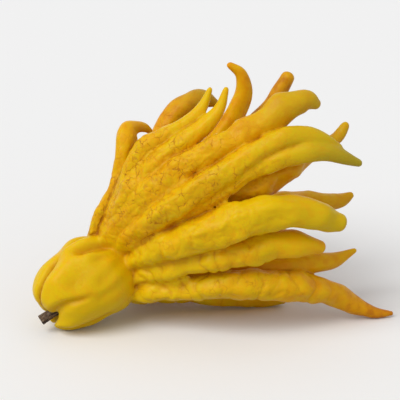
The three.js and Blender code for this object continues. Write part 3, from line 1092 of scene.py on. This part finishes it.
    def ripeness(self, near: Neighbours, part: Whole, share: Array) -> dict[str, Array]:
        """How warm, olive and cracked the rind is, which changes from the root of a part to its tip.

        Args:
            near: The edges of the skin.
            part: The number of the part that each point is on.
            share: Each point's distance from the root, as a share of the part's length.

        Returns:
            One number for each point, by name: warmth, olive and net, which is for the cracks.
        """
        kinds = self.parts()
        root, tip = np.array([kind.warmth for kind in kinds])[part].T
        olive, net, reach = np.array([(kind.olive, kind.net, kind.net_reach) for kind in kinds])[part].T
        return {
            "warmth": near.blurred(root + (tip - root) * share**1.5, 10),
            "olive": near.blurred(olive * ramp(share, 0.6, 1.0), 10),
            "net": near.blurred(net * ramp(share, reach, reach - 0.45), 14),
        }

    def marks(
        self, points: Array, near: Neighbours, part: Whole, share: Array, straight: Array
    ) -> dict[str, Array]:
        """How near each point is to the lines on the rind.

        Args:
            points: Places, one in a row.
            near: The edges of the skin.
            part: The number of the part that each point is on.
            share: Each point's distance from the root, as a share of the part's length.
            straight: The points as if the part's spine were straight.

        Returns:
            From 0 to 1 for each point, by name: the edge of another part, a crease across the
            finger and a wall between lumps, where the finish paints shade, and a brown cleft.
        """
        seam = self.lumps(points, part, straight, self.borders(near, part))[1]
        band = self.bands(points, part, straight)[1]
        split = 1 + [finger.name for finger in self.fingers].index(self.cleft)
        cleft = self.borders(near, part == split, rounds=0) * ramp(share, 0.62, 0.5)
        return {
            "edge": self.borders(near, part, rounds=1),
            "band": band * ramp(self.relief(share, part)[:, 1], 0.3, 1.0),
            "seam": seam * ramp(waves(points, length=13.0, seed=37), -0.9, 0.6),
            "cleft": np.where(part == 0, self.solid_end.marks(points)[0], cleft),
        }

    def hollows(self, skin: Surface, near: Neighbours, part: Whole) -> dict[str, Array]:
        """How deep each point lies: how far a more and more blurred surface stands out over it.

        Args:
            skin: The surface.
            near: Its edges.
            part: The number of the part that each point is on.

        Returns:
            From 0 to 1 for each point, by name: in a small dip, in a crease or a groove, and in a
            valley between fingers, where the finish paints shade.
        """
        normals, smoother, depths = skin.normals(), skin.points, []
        for rounds in (2, 8, 40):
            smoother = near.blurred(smoother, rounds)
            depths.append(((smoother - skin.points) * normals).sum(axis=1))
        crease = near.blurred(ramp(depths[1], 0.12, 1.0), 1)
        # the solid end's grooves count as creases, which take painted shade
        groove = 0.6 * self.solid_end.marks(skin.points)[1]
        return {
            "dip": ramp(depths[0], 0.0, 0.12),
            "crease": np.where(part == 0, np.maximum(crease, groove), crease),
            "valley": near.blurred(ramp(depths[2], 0.3, 2.6), 3),
        }

    def mesh(self) -> bpy.types.Mesh:
        """Builds the skin, and stores what its finish reads at each point.

        Returns:
            The mesh, with the numbers of ripeness, marks and hollows, and the point as if its
            finger were straight.
        """
        skin = self.roughened(self.grown_together())
        log.info("  grown together from %d parts: %d points", len(self.parts()) + 1, len(skin.points))
        skin = self.thinned(skin)
        near = Neighbours(skin)
        part, share, straight = self.belonging(skin.points)
        mesh = skin.mesh("fruit_skin")
        store(mesh, **self.ripeness(near, part, share))
        store(mesh, **self.marks(skin.points, near, part, share, straight))
        store(mesh, **self.hollows(skin, near, part))
        straight += 2 * self.gap * part[:, None]
        column = mesh.attributes.new("straight", "FLOAT_VECTOR", "POINT")
        column.data.foreach_set("vector", straight.ravel())
        return mesh

    def build(self, material: bpy.types.Material) -> bpy.types.Object:
        """Adds the fruit to the scene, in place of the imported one.

        Args:
            material: The rind's finish.

        Returns:
            The fruit.
        """
        fruit = add_object("fruit_skin", self.mesh(), material)
        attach(fruit, "root")
        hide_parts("fruit")
        return fruit


# ---- the stem ----------------------------------------------------------------------------------


@dataclass
class Stem:
    """The stub of woody stem, from the calyx in the pit to the cut end."""

    foot: Place = (-101.0, -48.3, 16.6)  # on the floor of the pit
    heading: Place = (-13.0, -5.2, -7.4)
    # distance from the foot and half width: the calyx, the stub and the cut edge
    profile: Points = field(default_factory=lambda: [
        (-1.2, 4.3), (0.4, 4.5), (1.6, 4.2), (3.0, 3.7), (6.0, 3.4), (10.0, 3.3), (13.0, 3.35),
        (15.0, 3.4), (15.5, 3.2),
    ])
    cut_hollow: float = 0.5  # how deep the pith has sunk in the cut face, mm
    ridge: float = 0.17  # height of the bark's ridges, mm
    lobe: float = 0.35  # height of the calyx's lobes, mm
    fray: float = 0.12  # how uneven the cut edge is, mm
    around: int = 120
    rings: int = 90
    face_rings: int = 16

    def build(self, material: bpy.types.Material) -> bpy.types.Object:
        """Adds the stem to the scene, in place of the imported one.

        Args:
            material: The bark's finish.

        Returns:
            The stem.
        """
        stem = add_object("stem_stub", self.mesh(), material)
        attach(stem, "root")
        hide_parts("stem")
        return stem

    def mesh(self) -> bpy.types.Mesh:
        """Turns the profile round the stem's own axis, and stores its furrows and its cut face.

        The bark's ridges are noise over the angle and a fifth of the distance, so they run
        lengthwise. The calyx has five lobes, a cosine of five times the angle. The cut face is a
        disc whose middle sinks by a bell curve of the radius.

        Returns:
            The mesh.
        """
        heading = unit(np.array(self.heading))
        side = unit(np.cross(heading, [0.0, 0.0, 1.0]))
        over = np.cross(heading, side)
        rows = np.array(self.profile)
        place = through(rows[:, 0], rows, np.linspace(rows[0, 0], rows[-1, 0], self.rings))
        inward = np.linspace(1, 0, self.face_rings + 1)[1:]
        sunk = self.cut_hollow * np.exp(-((inward * 2.2) ** 2))
        face = np.stack([rows[-1, 0] - sunk, rows[-1, 1] * inward], axis=1)
        distance, radius = np.vstack([[rows[0] * (1, 0)], place, face]).T[:, :, None]
        on_face = np.concatenate([np.zeros(self.rings + 1), np.ones(self.face_rings)])[:, None]

        angle = np.linspace(0, 2 * np.pi, self.around, endpoint=False)[None, :]
        stretched, even = (
            np.stack(np.broadcast_arrays(r * np.cos(angle), r * np.sin(angle), step * distance), axis=-1)
            for r, step in ((6, 0.22), (3, 1))
        )
        ridges = waves(stretched, length=2.6, seed=51, count=40)
        ridges += 0.4 * waves(even, length=1.6, seed=52, count=40)
        lobes = self.lobe * np.cos(5 * angle) * ramp(distance, 3.2, 0.5)
        share = radius / rows[:, 1].mean()
        width = radius + (self.ridge * ridges + lobes) * np.clip(share, 0, 1) * (1 - 0.6 * on_face)
        way = np.cos(angle)[..., None] * side + np.sin(angle)[..., None] * over
        fray = self.fray * waves(even, length=1.3, seed=53) * ramp(distance, 14.3, 15.4)
        rings = np.array(self.foot) + (distance + fray)[..., None] * heading + width[..., None] * way
        mesh = Surface.tube(rings).mesh("stem_stub")
        furrow, cut = ramp(-ridges, -0.1, 1.2), np.broadcast_to(on_face, ridges.shape)
        store(mesh, furrow=self.on_points(furrow), cut=self.on_points(cut))
        return mesh

    @staticmethod
    def on_points(grid: Array) -> Array:
        """Returns a grid of values in the order of a tube's points."""
        return np.concatenate([grid[0, :1], grid[1:-1].ravel(), grid[-1, :1]])


# ---- finishes ----------------------------------------------------------------------------------


class Graph:
    """Adds nodes to a shader tree and joins their sockets."""

    def __init__(self, tree: bpy.types.NodeTree) -> None:
        """Starts with an empty tree."""
        self.tree = tree
        tree.nodes.clear()

    def node(self, kind: str, inputs: Inputs | None = None, **settings: object) -> bpy.types.Node:
        """Adds a node.

        Args:
            kind: The node's type, without ShaderNode.
            inputs: A socket to join or a value to set, by the input's name or place.
            settings: The node's own settings.

        Returns:
            The node.
        """
        node = self.tree.nodes.new(kind if kind.startswith("Node") else "ShaderNode" + kind)
        for name, value in settings.items():
            setattr(node, name, value)
        for name, value in (inputs or {}).items():
            self.give(node.inputs[name], value)
        return node

    def give(self, target: Socket, value: object) -> None:
        """Joins a socket to an input, or sets the input to a value.

        Args:
            target: The input.
            value: The socket or the value.
        """
        if isinstance(value, Socket):
            self.tree.links.new(value, target)
        else:
            target.default_value = value

    def math(self, operation: str, *values: object, clamp: bool = False) -> Socket:
        """Returns the result of one sum on numbers or sockets, kept from 0 to 1 if clamp is true."""
        return self.node("Math", dict(enumerate(values)), operation=operation, use_clamp=clamp).outputs[0]

    def times(self, first: object, second: object, clamp: bool = False) -> Socket:
        """Returns the product of two numbers or sockets, kept from 0 to 1 if clamp is true."""
        return self.math("MULTIPLY", first, second, clamp=clamp)

    def grown(self, value: Socket, least: float, more: float) -> Socket:
        """Returns least plus more times the value."""
        return self.math("MULTIPLY_ADD", value, more, least)

    def ramp(self, value: object, low: float, high: object, start: object = 0.0, end: object = 1.0) -> Socket:
        """Returns start at low and end at high, with a smooth step between."""
        inputs = {"Value": value, "From Min": low, "From Max": high, "To Min": start, "To Max": end}
        return self.node("MapRange", inputs, interpolation_type="SMOOTHSTEP").outputs[0]

    def scaled(self, place: Socket, scale: Place) -> Socket:
        """Returns a place with each of x, y and z scaled on its own."""
        return self.node("VectorMath", {0: place, 1: scale}, operation="MULTIPLY").outputs[0]

    def mix(self, share: object, first: object, second: object) -> Socket:
        """Adds a mix of two colours.

        Args:
            share: 0 for the first colour, 1 for the second.
            first: A colour or a socket.
            second: A colour or a socket.

        Returns:
            The mixed colour.
        """
        node = self.node("Mix", {"Factor": share}, data_type="RGBA")
        for name, value in (("A_Color", first), ("B_Color", second)):
            target = next(socket for socket in node.inputs if socket.identifier == name)
            self.give(target, (*value, 1.0) if isinstance(value, tuple) else value)
        return next(socket for socket in node.outputs if socket.identifier == "Result_Color")

    def tinted(self, shade: Socket, layers: list[tuple[Socket, float, object]]) -> Socket:
        """Lays tints over a colour.

        Args:
            shade: The colour.
            layers: Where each tint lies, how strong it is there, and its colour, the lowest first.

        Returns:
            The tinted colour.
        """
        for mask, strength, colour in layers:
            shade = self.mix(self.times(mask, strength, clamp=True), shade, colour)
        return shade

    def attribute(self, name: str) -> Socket:
        """Returns the number stored on the mesh under a name."""
        return self.node("Attribute", attribute_name=name).outputs["Fac"]

    def millimetres(self) -> Socket:
        """Returns the place on the object, in millimetres."""
        place = self.node("TexCoord").outputs["Object"]
        return self.node("VectorMath", {0: place, "Scale": 1 / MM}, operation="SCALE").outputs[0]


def start_effect(name: str, **numbers: float) -> tuple[Graph, bpy.types.Node]:
    """Starts a shader node group that turns a place in millimetres and some numbers into a value.

    Args:
        name: The group's name.
        numbers: The group's numbers and their usual values.

    Returns:
        The graph to add nodes to, and the node that holds the inputs.
    """
    tree = bpy.data.node_groups.new(name, "ShaderNodeTree")
    tree.interface.new_socket("Place", in_out="INPUT", socket_type="NodeSocketVector")
    for label, value in numbers.items():
        tree.interface.new_socket(label, in_out="INPUT", socket_type="NodeSocketFloat").default_value = value
    tree.interface.new_socket("Value", in_out="OUTPUT", socket_type="NodeSocketFloat")
    graph = Graph(tree)
    return graph, graph.node("NodeGroupInput")


@dataclass(frozen=True)
class Effects:
    """The node groups that several finishes share."""

    mottling: bpy.types.NodeTree
    cracks: bpy.types.NodeTree

    @classmethod
    def built(cls) -> "Effects":
        """Builds each group once."""
        return cls(cls.build_mottling(), cls.build_cracks())

    @staticmethod
    def build_mottling() -> bpy.types.NodeTree:
        """Cloudy noise of a given size, from Low to High.

        Returns:
            The node group.
        """
        graph, given = start_effect("mottling", Size=10.0, Low=0.0, High=1.0)
        scale = graph.math("DIVIDE", 1.0, given.outputs["Size"])
        noise = graph.node("TexNoise", {"Vector": given.outputs["Place"], "Scale": scale, "Detail": 3.0})
        value = graph.ramp(noise.outputs[0], 0.3, 0.7, given.outputs["Low"], given.outputs["High"])
        graph.node("NodeGroupOutput", {"Value": value})
        return graph.tree

    @staticmethod
    def build_cracks() -> bpy.types.NodeTree:
        """A net of cracks: 1 on the walls of a bent foam, and 0 at the width away from them.

        The second value rises from 0 on the walls to 1 well inside each cell.

        Returns:
            The node group.
        """
        graph, given = start_effect("cracks", Size=5.0, Width=0.4, Bend=1.0)
        place, size = given.outputs["Place"], given.outputs["Size"]
        scale = graph.math("DIVIDE", 1.0, size)
        wander = graph.node("TexNoise", {"Vector": place, "Scale": scale, "Detail": 2.0}).outputs[1]
        centred = graph.node("VectorMath", {0: wander, 1: (0.5, 0.5, 0.5)}, operation="SUBTRACT").outputs[0]
        reach = graph.times(given.outputs["Bend"], size)
        shift = graph.node("VectorMath", {0: centred, "Scale": reach}, operation="SCALE").outputs[0]
        bent = graph.node("VectorMath", {0: place, 1: shift}, operation="ADD").outputs[0]
        cells = graph.node("TexVoronoi", {"Vector": bent, "Scale": scale}, feature="DISTANCE_TO_EDGE")
        distance = graph.times(cells.outputs["Distance"], size)
        value = graph.ramp(distance, 0.0, given.outputs["Width"], 1.0, 0.0)
        graph.tree.interface.new_socket("Pillow", in_out="OUTPUT", socket_type="NodeSocketFloat")
        pillow = graph.ramp(cells.outputs["Distance"], 0.0, 0.32)
        graph.node("NodeGroupOutput", {"Value": value, "Pillow": pillow})
        return graph.tree


def placed(graph: Graph, effect: bpy.types.NodeTree, place: Socket, **numbers: float) -> Socket:
    """Returns the value of a shared effect, placed in a material with its own numbers."""
    return graph.node("Group", {"Place": place, **numbers}, node_tree=effect).outputs[0]


@dataclass(frozen=True)
class RindFinish:
    """Waxy citron rind: lemon to orange, olive at some tips, netted with fine brown cracks, with painted
    shade.
    """

    lemon: Colour = (0.80, 0.52, 0.002)
    golden: Colour = (0.84, 0.455, 0.002)
    amber: Colour = (0.80, 0.35, 0.002)
    rust: Colour = (0.62, 0.21, 0.004)
    valley: Colour = (0.74, 0.33, 0.001)  # painted shade, orange, in the valleys between fingers and in small dips
    deep: Colour = (0.44, 0.155, 0.002)  # painted shade, dark, in creases and grooves, across bands, at lump walls and where parts meet
    olive: Colour = (0.42, 0.33, 0.015)
    crack: Colour = (0.42, 0.13, 0.004)
    scar: Colour = (0.62, 0.26, 0.015)
    stops: tuple[float, ...] = (0.0, 0.35, 0.7, 1.0)  # how warm the first four colours are
    clouds: float = 0.16  # how far broad and small clouds each move the warmth, up and down
    # how strongly each mark tints the rind; the valley, dip, crease, seam, band, edge and sunk tints
    # paint shade, the seam's partly the net's brown
    valley_shade_tint: float = 0.6
    dip_shade_tint: float = 0.3
    crease_shade_tint: float = 0.75
    seam_net_and_shade_tint: float = 0.3
    band_shade_tint: float = 0.22
    edge_shade_tint: float = 1.7
    sunk_shade_tint: float = 0.4
    crack_tint: float = 0.8
    scar_tint: float = 0.65
    cleft_tint: float = 0.85
    # heights and depths, mm; where there are two, on bare rind, and how much more on netted rind
    gland_height: float = 0.03
    pillow_height: tuple[float, float] = (0.05, 0.2)
    wrinkle_height: tuple[float, float] = (0.06, 0.3)
    dent_height: tuple[float, float] = (0.25, 0.25)
    crack_depth: float = 0.16
    cleft_depth: float = 0.6
    scar_depth: float = 0.22
    gland_size: float = 0.85  # mm
    crack_size: float = 6.4  # mm, from one crack of the net to the next
    crack_width: float = 0.5  # mm, of the widest
    roughness: float = 0.38
    crack_roughness: float = 0.2  # how much rougher a crack is
    uneven: float = 0.06  # how far the roughness moves up and down
    gloss: float = 0.14
    density: float = 1.46  # how strongly the wax bends light
    translucency: float = 0.2
    glow: Colour = (1.0, 0.4, 0.08)  # how far each colour of light goes into the rind
    glow_depth: float = 3.0  # mm, for the farthest

    def material(self, effects: Effects) -> bpy.types.Material:
        """Builds the finish, which reads the numbers that the rind stores at its points.

        Args:
            effects: The shared node groups.

        Returns:
            The material.
        """
        material = bpy.data.materials.new("rind")
        material.use_nodes = True
        graph = Graph(material.node_tree)
        place = graph.millimetres()
        masks = self.masks(graph, effects, place)
        shade = graph.tinted(self.ripeness(graph, effects, place), [
            # the walls between lumps: partly painted shade in the crevices, partly the brown of the net
            (masks["seam"], self.seam_net_and_shade_tint, self.deep),
            # painted shade: dark in the creases across the fingers
            (graph.attribute("band"), self.band_shade_tint, self.deep),
            # painted shade: dark on the edges where two parts meet, most in the valleys
            (masks["edge"], self.edge_shade_tint, self.deep),
            # painted shade: amber on the low netted rind between the pillows
            (masks["sunk"], self.sunk_shade_tint, self.amber),
            (masks["crack"], self.crack_tint, self.crack),
            (masks["scar"], self.scar_tint, self.scar),
            (masks["cleft"], self.cleft_tint, self.crack),
        ])
        rough = graph.grown(masks["crack"], self.roughness, self.crack_roughness)
        uneven = placed(graph, effects.mottling, place, Size=9.0, Low=-self.uneven, High=self.uneven)
        height = self.height(graph, place, masks)
        bump = graph.node("Bump", {"Height": height, "Strength": 1.0, "Distance": MM})
        shader = graph.node("BsdfPrincipled", {
            "Base Color": shade, "Roughness": graph.math("ADD", rough, uneven), "Normal": bump.outputs[0],
            "IOR": self.density, "Specular IOR Level": self.gloss, "Subsurface Weight": self.translucency,
            "Subsurface Radius": self.glow, "Subsurface Scale": self.glow_depth * MM,
        })
        graph.node("OutputMaterial", {"Surface": shader.outputs[0]})
        return material

    def ripeness(self, graph: Graph, effects: Effects, place: Socket) -> Socket:
        """The colour of the rind without its marks: lemon to rust, with painted shade where it lies deep.

        Args:
            graph: The material's graph.
            effects: The shared node groups.
            place: The place on the rind, in millimetres.

        Returns:
            The colour.
        """
        broad, small = (
            placed(graph, effects.mottling, place, Size=size, Low=-self.clouds, High=self.clouds)
            for size in (22.0, 6.0)
        )
        warmth = graph.math("ADD", graph.attribute("warmth"), graph.math("ADD", broad, small))
        colours = graph.node("ValToRGB", {0: warmth})
        for position in self.stops[1:-1]:
            colours.color_ramp.elements.new(position)
        tints = (self.lemon, self.golden, self.amber, self.rust)
        for element, tint in zip(colours.color_ramp.elements, tints):
            element.color = (*tint, 1.0)
        return graph.tinted(colours.outputs[0], [
            (graph.attribute("olive"), 1.0, self.olive),
            # painted shade: orange in the valleys between fingers and in small dips
            (graph.attribute("valley"), self.valley_shade_tint, self.valley),
            (graph.attribute("dip"), self.dip_shade_tint, self.valley),
            # painted shade: dark in the creases and in the solid end's grooves
            (graph.attribute("crease"), self.crease_shade_tint, self.deep),
        ])

    def masks(self, graph: Graph, effects: Effects, place: Socket) -> dict[str, Socket]:
        """Where the marks of the rind are.

        Args:
            graph: The material's graph.
            effects: The shared node groups.
            place: The place on the rind, in millimetres.

        Returns:
            From 0 to 1, by name: how netted the rind is, the walls between lumps, the edges between
            fingers and the sunk netted rind, which take painted shade, the cracks, the pillows between
            them, the scars and the cleft. The height of the wrinkles is in millimetres.
        """
        straight = graph.node("Attribute", attribute_name="straight").outputs["Vector"]
        net, edge = graph.attribute("net"), graph.attribute("edge")
        inside = graph.math("SUBTRACT", 1.0, edge)
        crack, pillow = self.cracks(graph, effects, place, net)
        patches = placed(graph, effects.mottling, place, Size=4.0, Low=0.3)
        return {
            "net": net,
            "seam": graph.times(graph.attribute("seam"), graph.times(net, 1.2), clamp=True),
            "edge": graph.times(edge, graph.attribute("valley")),
            "crack": crack,
            "pillow": pillow,
            "sunk": graph.times(graph.math("SUBTRACT", 1.0, pillow), net),
            "scar": graph.times(self.scars(graph, straight, net), inside),
            "cleft": graph.times(graph.attribute("cleft"), patches),
            "wrinkle": graph.times(self.wrinkles(graph, straight, net), inside),
        }

    def cracks(self, graph: Graph, effects: Effects, place: Socket, net: Socket) -> tuple[Socket, Socket]:
        """A net of fine cracks, in patches.

        Args:
            graph: The material's graph.
            effects: The shared node groups.
            place: The place on the rind, in millimetres.
            net: How netted the rind is.

        Returns:
            How cracked the rind is, and how high it stands between the cracks, from 0 to 1.
        """
        width = placed(graph, effects.mottling, place, Size=5.0, Low=-0.2, High=self.crack_width)
        width = graph.math("MAXIMUM", width, 0.01)
        inputs = {"Place": place, "Size": self.crack_size, "Width": width, "Bend": 0.9}
        cells = graph.node("Group", inputs, node_tree=effects.cracks)
        patches = placed(graph, effects.mottling, place, Size=12.0, Low=-0.7, High=1.9)
        share = graph.times(net, patches, clamp=True)
        return graph.times(cells.outputs["Value"], share), cells.outputs["Pillow"]

    @staticmethod
    def scars(graph: Graph, straight: Socket, net: Socket) -> Socket:
        """Small corky scars, which are short and lie across the finger.

        Args:
            graph: The material's graph.
            straight: The place as if the finger were straight, in millimetres.
            net: How netted the rind is.

        Returns:
            How scarred the rind is, from 0 to 1.
        """
        wider = graph.scaled(straight, (0.62, 0.36, 0.36))
        spots = graph.node("TexNoise", {"Vector": wider, "Scale": 1.0, "Detail": 1.5}).outputs[0]
        fields = graph.node("TexNoise", {"Vector": straight, "Scale": 0.06, "Detail": 1.0}).outputs[0]
        share = graph.times(graph.ramp(fields, 0.42, 0.62), graph.math("ADD", net, 0.15))
        return graph.times(graph.ramp(spots, 0.55, 0.64), share, clamp=True)

    def wrinkles(self, graph: Graph, straight: Socket, net: Socket) -> Socket:
        """Fine wrinkles across the finger, over soft dents.

        Args:
            graph: The material's graph.
            straight: The place as if the finger were straight, in millimetres.
            net: How netted the rind is.

        Returns:
            Their height, in millimetres.
        """
        close = graph.scaled(straight, (0.55, 0.16, 0.16))
        across = graph.node("TexNoise", {"Vector": close, "Scale": 1.0, "Detail": 2.0}).outputs[0]
        dents = graph.node("TexNoise", {"Vector": straight, "Scale": 0.22, "Detail": 2.0}).outputs[0]
        fine = graph.times(across, graph.grown(net, *self.wrinkle_height))
        return graph.math("ADD", fine, graph.times(dents, graph.grown(net, *self.dent_height)))

    def height(self, graph: Graph, place: Socket, masks: dict[str, Socket]) -> Socket:
        """The fine relief of the rind: glands, wrinkles and pillows, less cracks, clefts and scars.

        Args:
            graph: The material's graph.
            place: The place on the rind, in millimetres.
            masks: Where the marks are.

        Returns:
            The height, in millimetres.
        """
        inputs = {"Vector": place, "Scale": 1 / self.gland_size}
        glands = graph.node("TexVoronoi", inputs, feature="SMOOTH_F1").outputs["Distance"]
        height = graph.times(graph.ramp(glands, 0.1, 0.55), self.gland_height)
        pillows = graph.times(masks["pillow"], graph.grown(masks["net"], *self.pillow_height))
        for raised in (masks["wrinkle"], pillows):
            height = graph.math("ADD", height, raised)
        depths = {"crack": self.crack_depth, "cleft": self.cleft_depth, "scar": self.scar_depth}
        for name, depth in depths.items():
            height = graph.math("SUBTRACT", height, graph.times(masks[name], depth))
        return height


@dataclass(frozen=True)
class BarkFinish:
    """Dry brown bark, paler on the cut face."""

    ridge: Colour = (0.155, 0.088, 0.046)
    furrow: Colour = (0.022, 0.012, 0.009)
    lichen: Colour = (0.30, 0.23, 0.16)
    wood: Colour = (0.16, 0.095, 0.052)
    lichen_tint: float = 0.8
    split_tint: float = 0.6
    wood_tint: float = 0.8
    grain_height: float = 0.06  # mm
    split_depth: float = 0.12  # mm
    roughness: float = 0.85

    def material(self, effects: Effects) -> bpy.types.Material:
        """Builds the finish, which reads the furrows and the cut face stored on the stem.

        Args:
            effects: The shared node groups.

        Returns:
            The material.
        """
        material = bpy.data.materials.new("stem_bark")
        material.use_nodes = True
        graph = Graph(material.node_tree)
        place = graph.millimetres()
        spots = placed(graph, effects.mottling, place, Size=1.3, Low=-0.6, High=0.8)
        splits = placed(graph, effects.cracks, place, Size=1.5, Width=0.22, Bend=0.5)
        grain = placed(graph, effects.mottling, place, Size=0.7, Low=0.0, High=1.0)
        lichened = graph.mix(graph.times(spots, self.lichen_tint, clamp=True), self.ridge, self.lichen)
        shade = graph.tinted(lichened, [
            (graph.attribute("furrow"), 1.0, self.furrow),
            (splits, self.split_tint, self.furrow),
            (graph.attribute("cut"), self.wood_tint, graph.mix(grain, self.wood, self.furrow)),
        ])
        height = graph.times(grain, self.grain_height)
        height = graph.math("SUBTRACT", height, graph.times(splits, self.split_depth))
        bump = graph.node("Bump", {"Height": height, "Strength": 1.0, "Distance": MM})
        shader = graph.node("BsdfPrincipled", {
            "Base Color": shade, "Roughness": self.roughness, "Normal": bump.outputs[0],
        })
        graph.node("OutputMaterial", {"Surface": shader.outputs[0]})
        return material


# ---- studio ------------------------------------------------------------------------------------


@dataclass(frozen=True)
class Lamp:
    """A far, broad lamp."""

    strength: float
    spread: float  # degrees
    way: Place  # towards the lamp


@dataclass
class Studio:
    """The pale table, the soft light and the camera."""

    table_size: float = 9.0  # m
    table_grey: float = 0.96  # as the camera sees it
    table_bounce: float = 0.55  # as it lights the fruit
    backdrop_grey: float = 0.888
    sky_strength: float = 0.50
    lamps: tuple[Lamp, ...] = (Lamp(1.72, 40.0, (-0.5, -0.45, 0.74)), Lamp(0.12, 80.0, (0.5, -0.9, 0.3)))
    target: Place = (-10.1, -15.0, 78.8)  # mm
    distance: float = 880.0  # mm
    elevation: float = 20.0  # degrees
    lens: float = 120.0  # mm

    def build(self) -> None:
        """Adds the table, the light and the camera, and sets how colours are shown."""
        scene = bpy.context.scene
        scene.view_settings.view_transform = "Standard"
        self.add_table()
        self.add_light(scene)
        scene.camera = self.add_camera(scene)

    def add_table(self) -> None:
        """Adds a flat square at z = 0, which is paler to the camera than to the fruit."""
        material = bpy.data.materials.new("table")
        material.use_nodes = True
        graph = Graph(material.node_tree)
        grey = graph.mix(self.seen(graph), (self.table_bounce,) * 3, (self.table_grey,) * 3)
        shader = graph.node("BsdfDiffuse", {"Color": grey})
        graph.node("OutputMaterial", {"Surface": shader.outputs[0]})
        corners = np.array([(-1, -1, 0), (1, -1, 0), (1, 1, 0), (-1, 1, 0)]) * self.table_size / 2 / MM
        table = add_object("table", Surface(corners, [np.array([[0, 1, 2, 3]])]).mesh("table"), material)

    def add_light(self, scene: bpy.types.Scene) -> None:
        """Adds the lamps, and a pale world that looks like the table to the camera.

        Args:
            scene: The scene to light.
        """
        for given in self.lamps:
            lamp = bpy.data.lights.new("lamp", "SUN")
            lamp.energy = given.strength
            lamp.angle = np.radians(given.spread)
            holder = bpy.data.objects.new("lamp", lamp)
            holder.rotation_euler = Vector(given.way).to_track_quat("Z", "Y").to_euler()
            scene.collection.objects.link(holder)

        world = bpy.data.worlds.new("studio")
        world.use_nodes = True
        graph = Graph(world.node_tree)
        light = graph.node("Background", {"Color": (1, 1, 1, 1), "Strength": self.sky_strength})
        view = graph.node("Background", {"Color": (*[self.backdrop_grey] * 3, 1.0), "Strength": 1.0})
        both = graph.node("MixShader", {0: self.seen(graph), 1: light.outputs[0], 2: view.outputs[0]})
        graph.node("OutputWorld", {"Surface": both.outputs[0]})
        scene.world = world

    @staticmethod
    def seen(graph: Graph) -> Socket:
        """Tells the camera's view from the light that falls on things.

        Args:
            graph: The graph that needs to know.

        Returns:
            1 for rays from the camera, straight or by a reflection or a clear body, and 0 for others.
        """
        path = graph.node("LightPath")
        seen = graph.math("MAXIMUM", path.outputs["Is Camera Ray"], path.outputs["Is Glossy Ray"])
        return graph.math("MAXIMUM", seen, path.outputs["Is Transmission Ray"])

    def add_camera(self, scene: bpy.types.Scene) -> bpy.types.Object:
        """Adds a camera in front of the fruit, a little above it.

        Args:
            scene: The scene to add it to.

        Returns:
            The camera.
        """
        camera = bpy.data.cameras.new("camera")
        camera.lens = self.lens
        holder = bpy.data.objects.new("camera", camera)
        angle = np.radians(self.elevation)
        way = Vector((0.0, -np.cos(angle), np.sin(angle)))
        holder.location = (Vector(self.target) + way * self.distance) * MM
        holder.rotation_euler = way.to_track_quat("Z", "Y").to_euler()
        scene.collection.objects.link(holder)
        return holder


def main() -> None:
    """Builds the fruit, its stem and the studio."""
    logging.basicConfig(level=logging.INFO, format="%(message)s")
    effects = Effects.built()
    fruit = Rind().build(RindFinish().material(effects))
    log.info("rind: %d triangles", len(fruit.data.polygons))
    stem = Stem().build(BarkFinish().material(effects))
    log.info("stem: %d faces", len(stem.data.polygons))
    Studio().build()


if __name__ == "__main__":
    main()
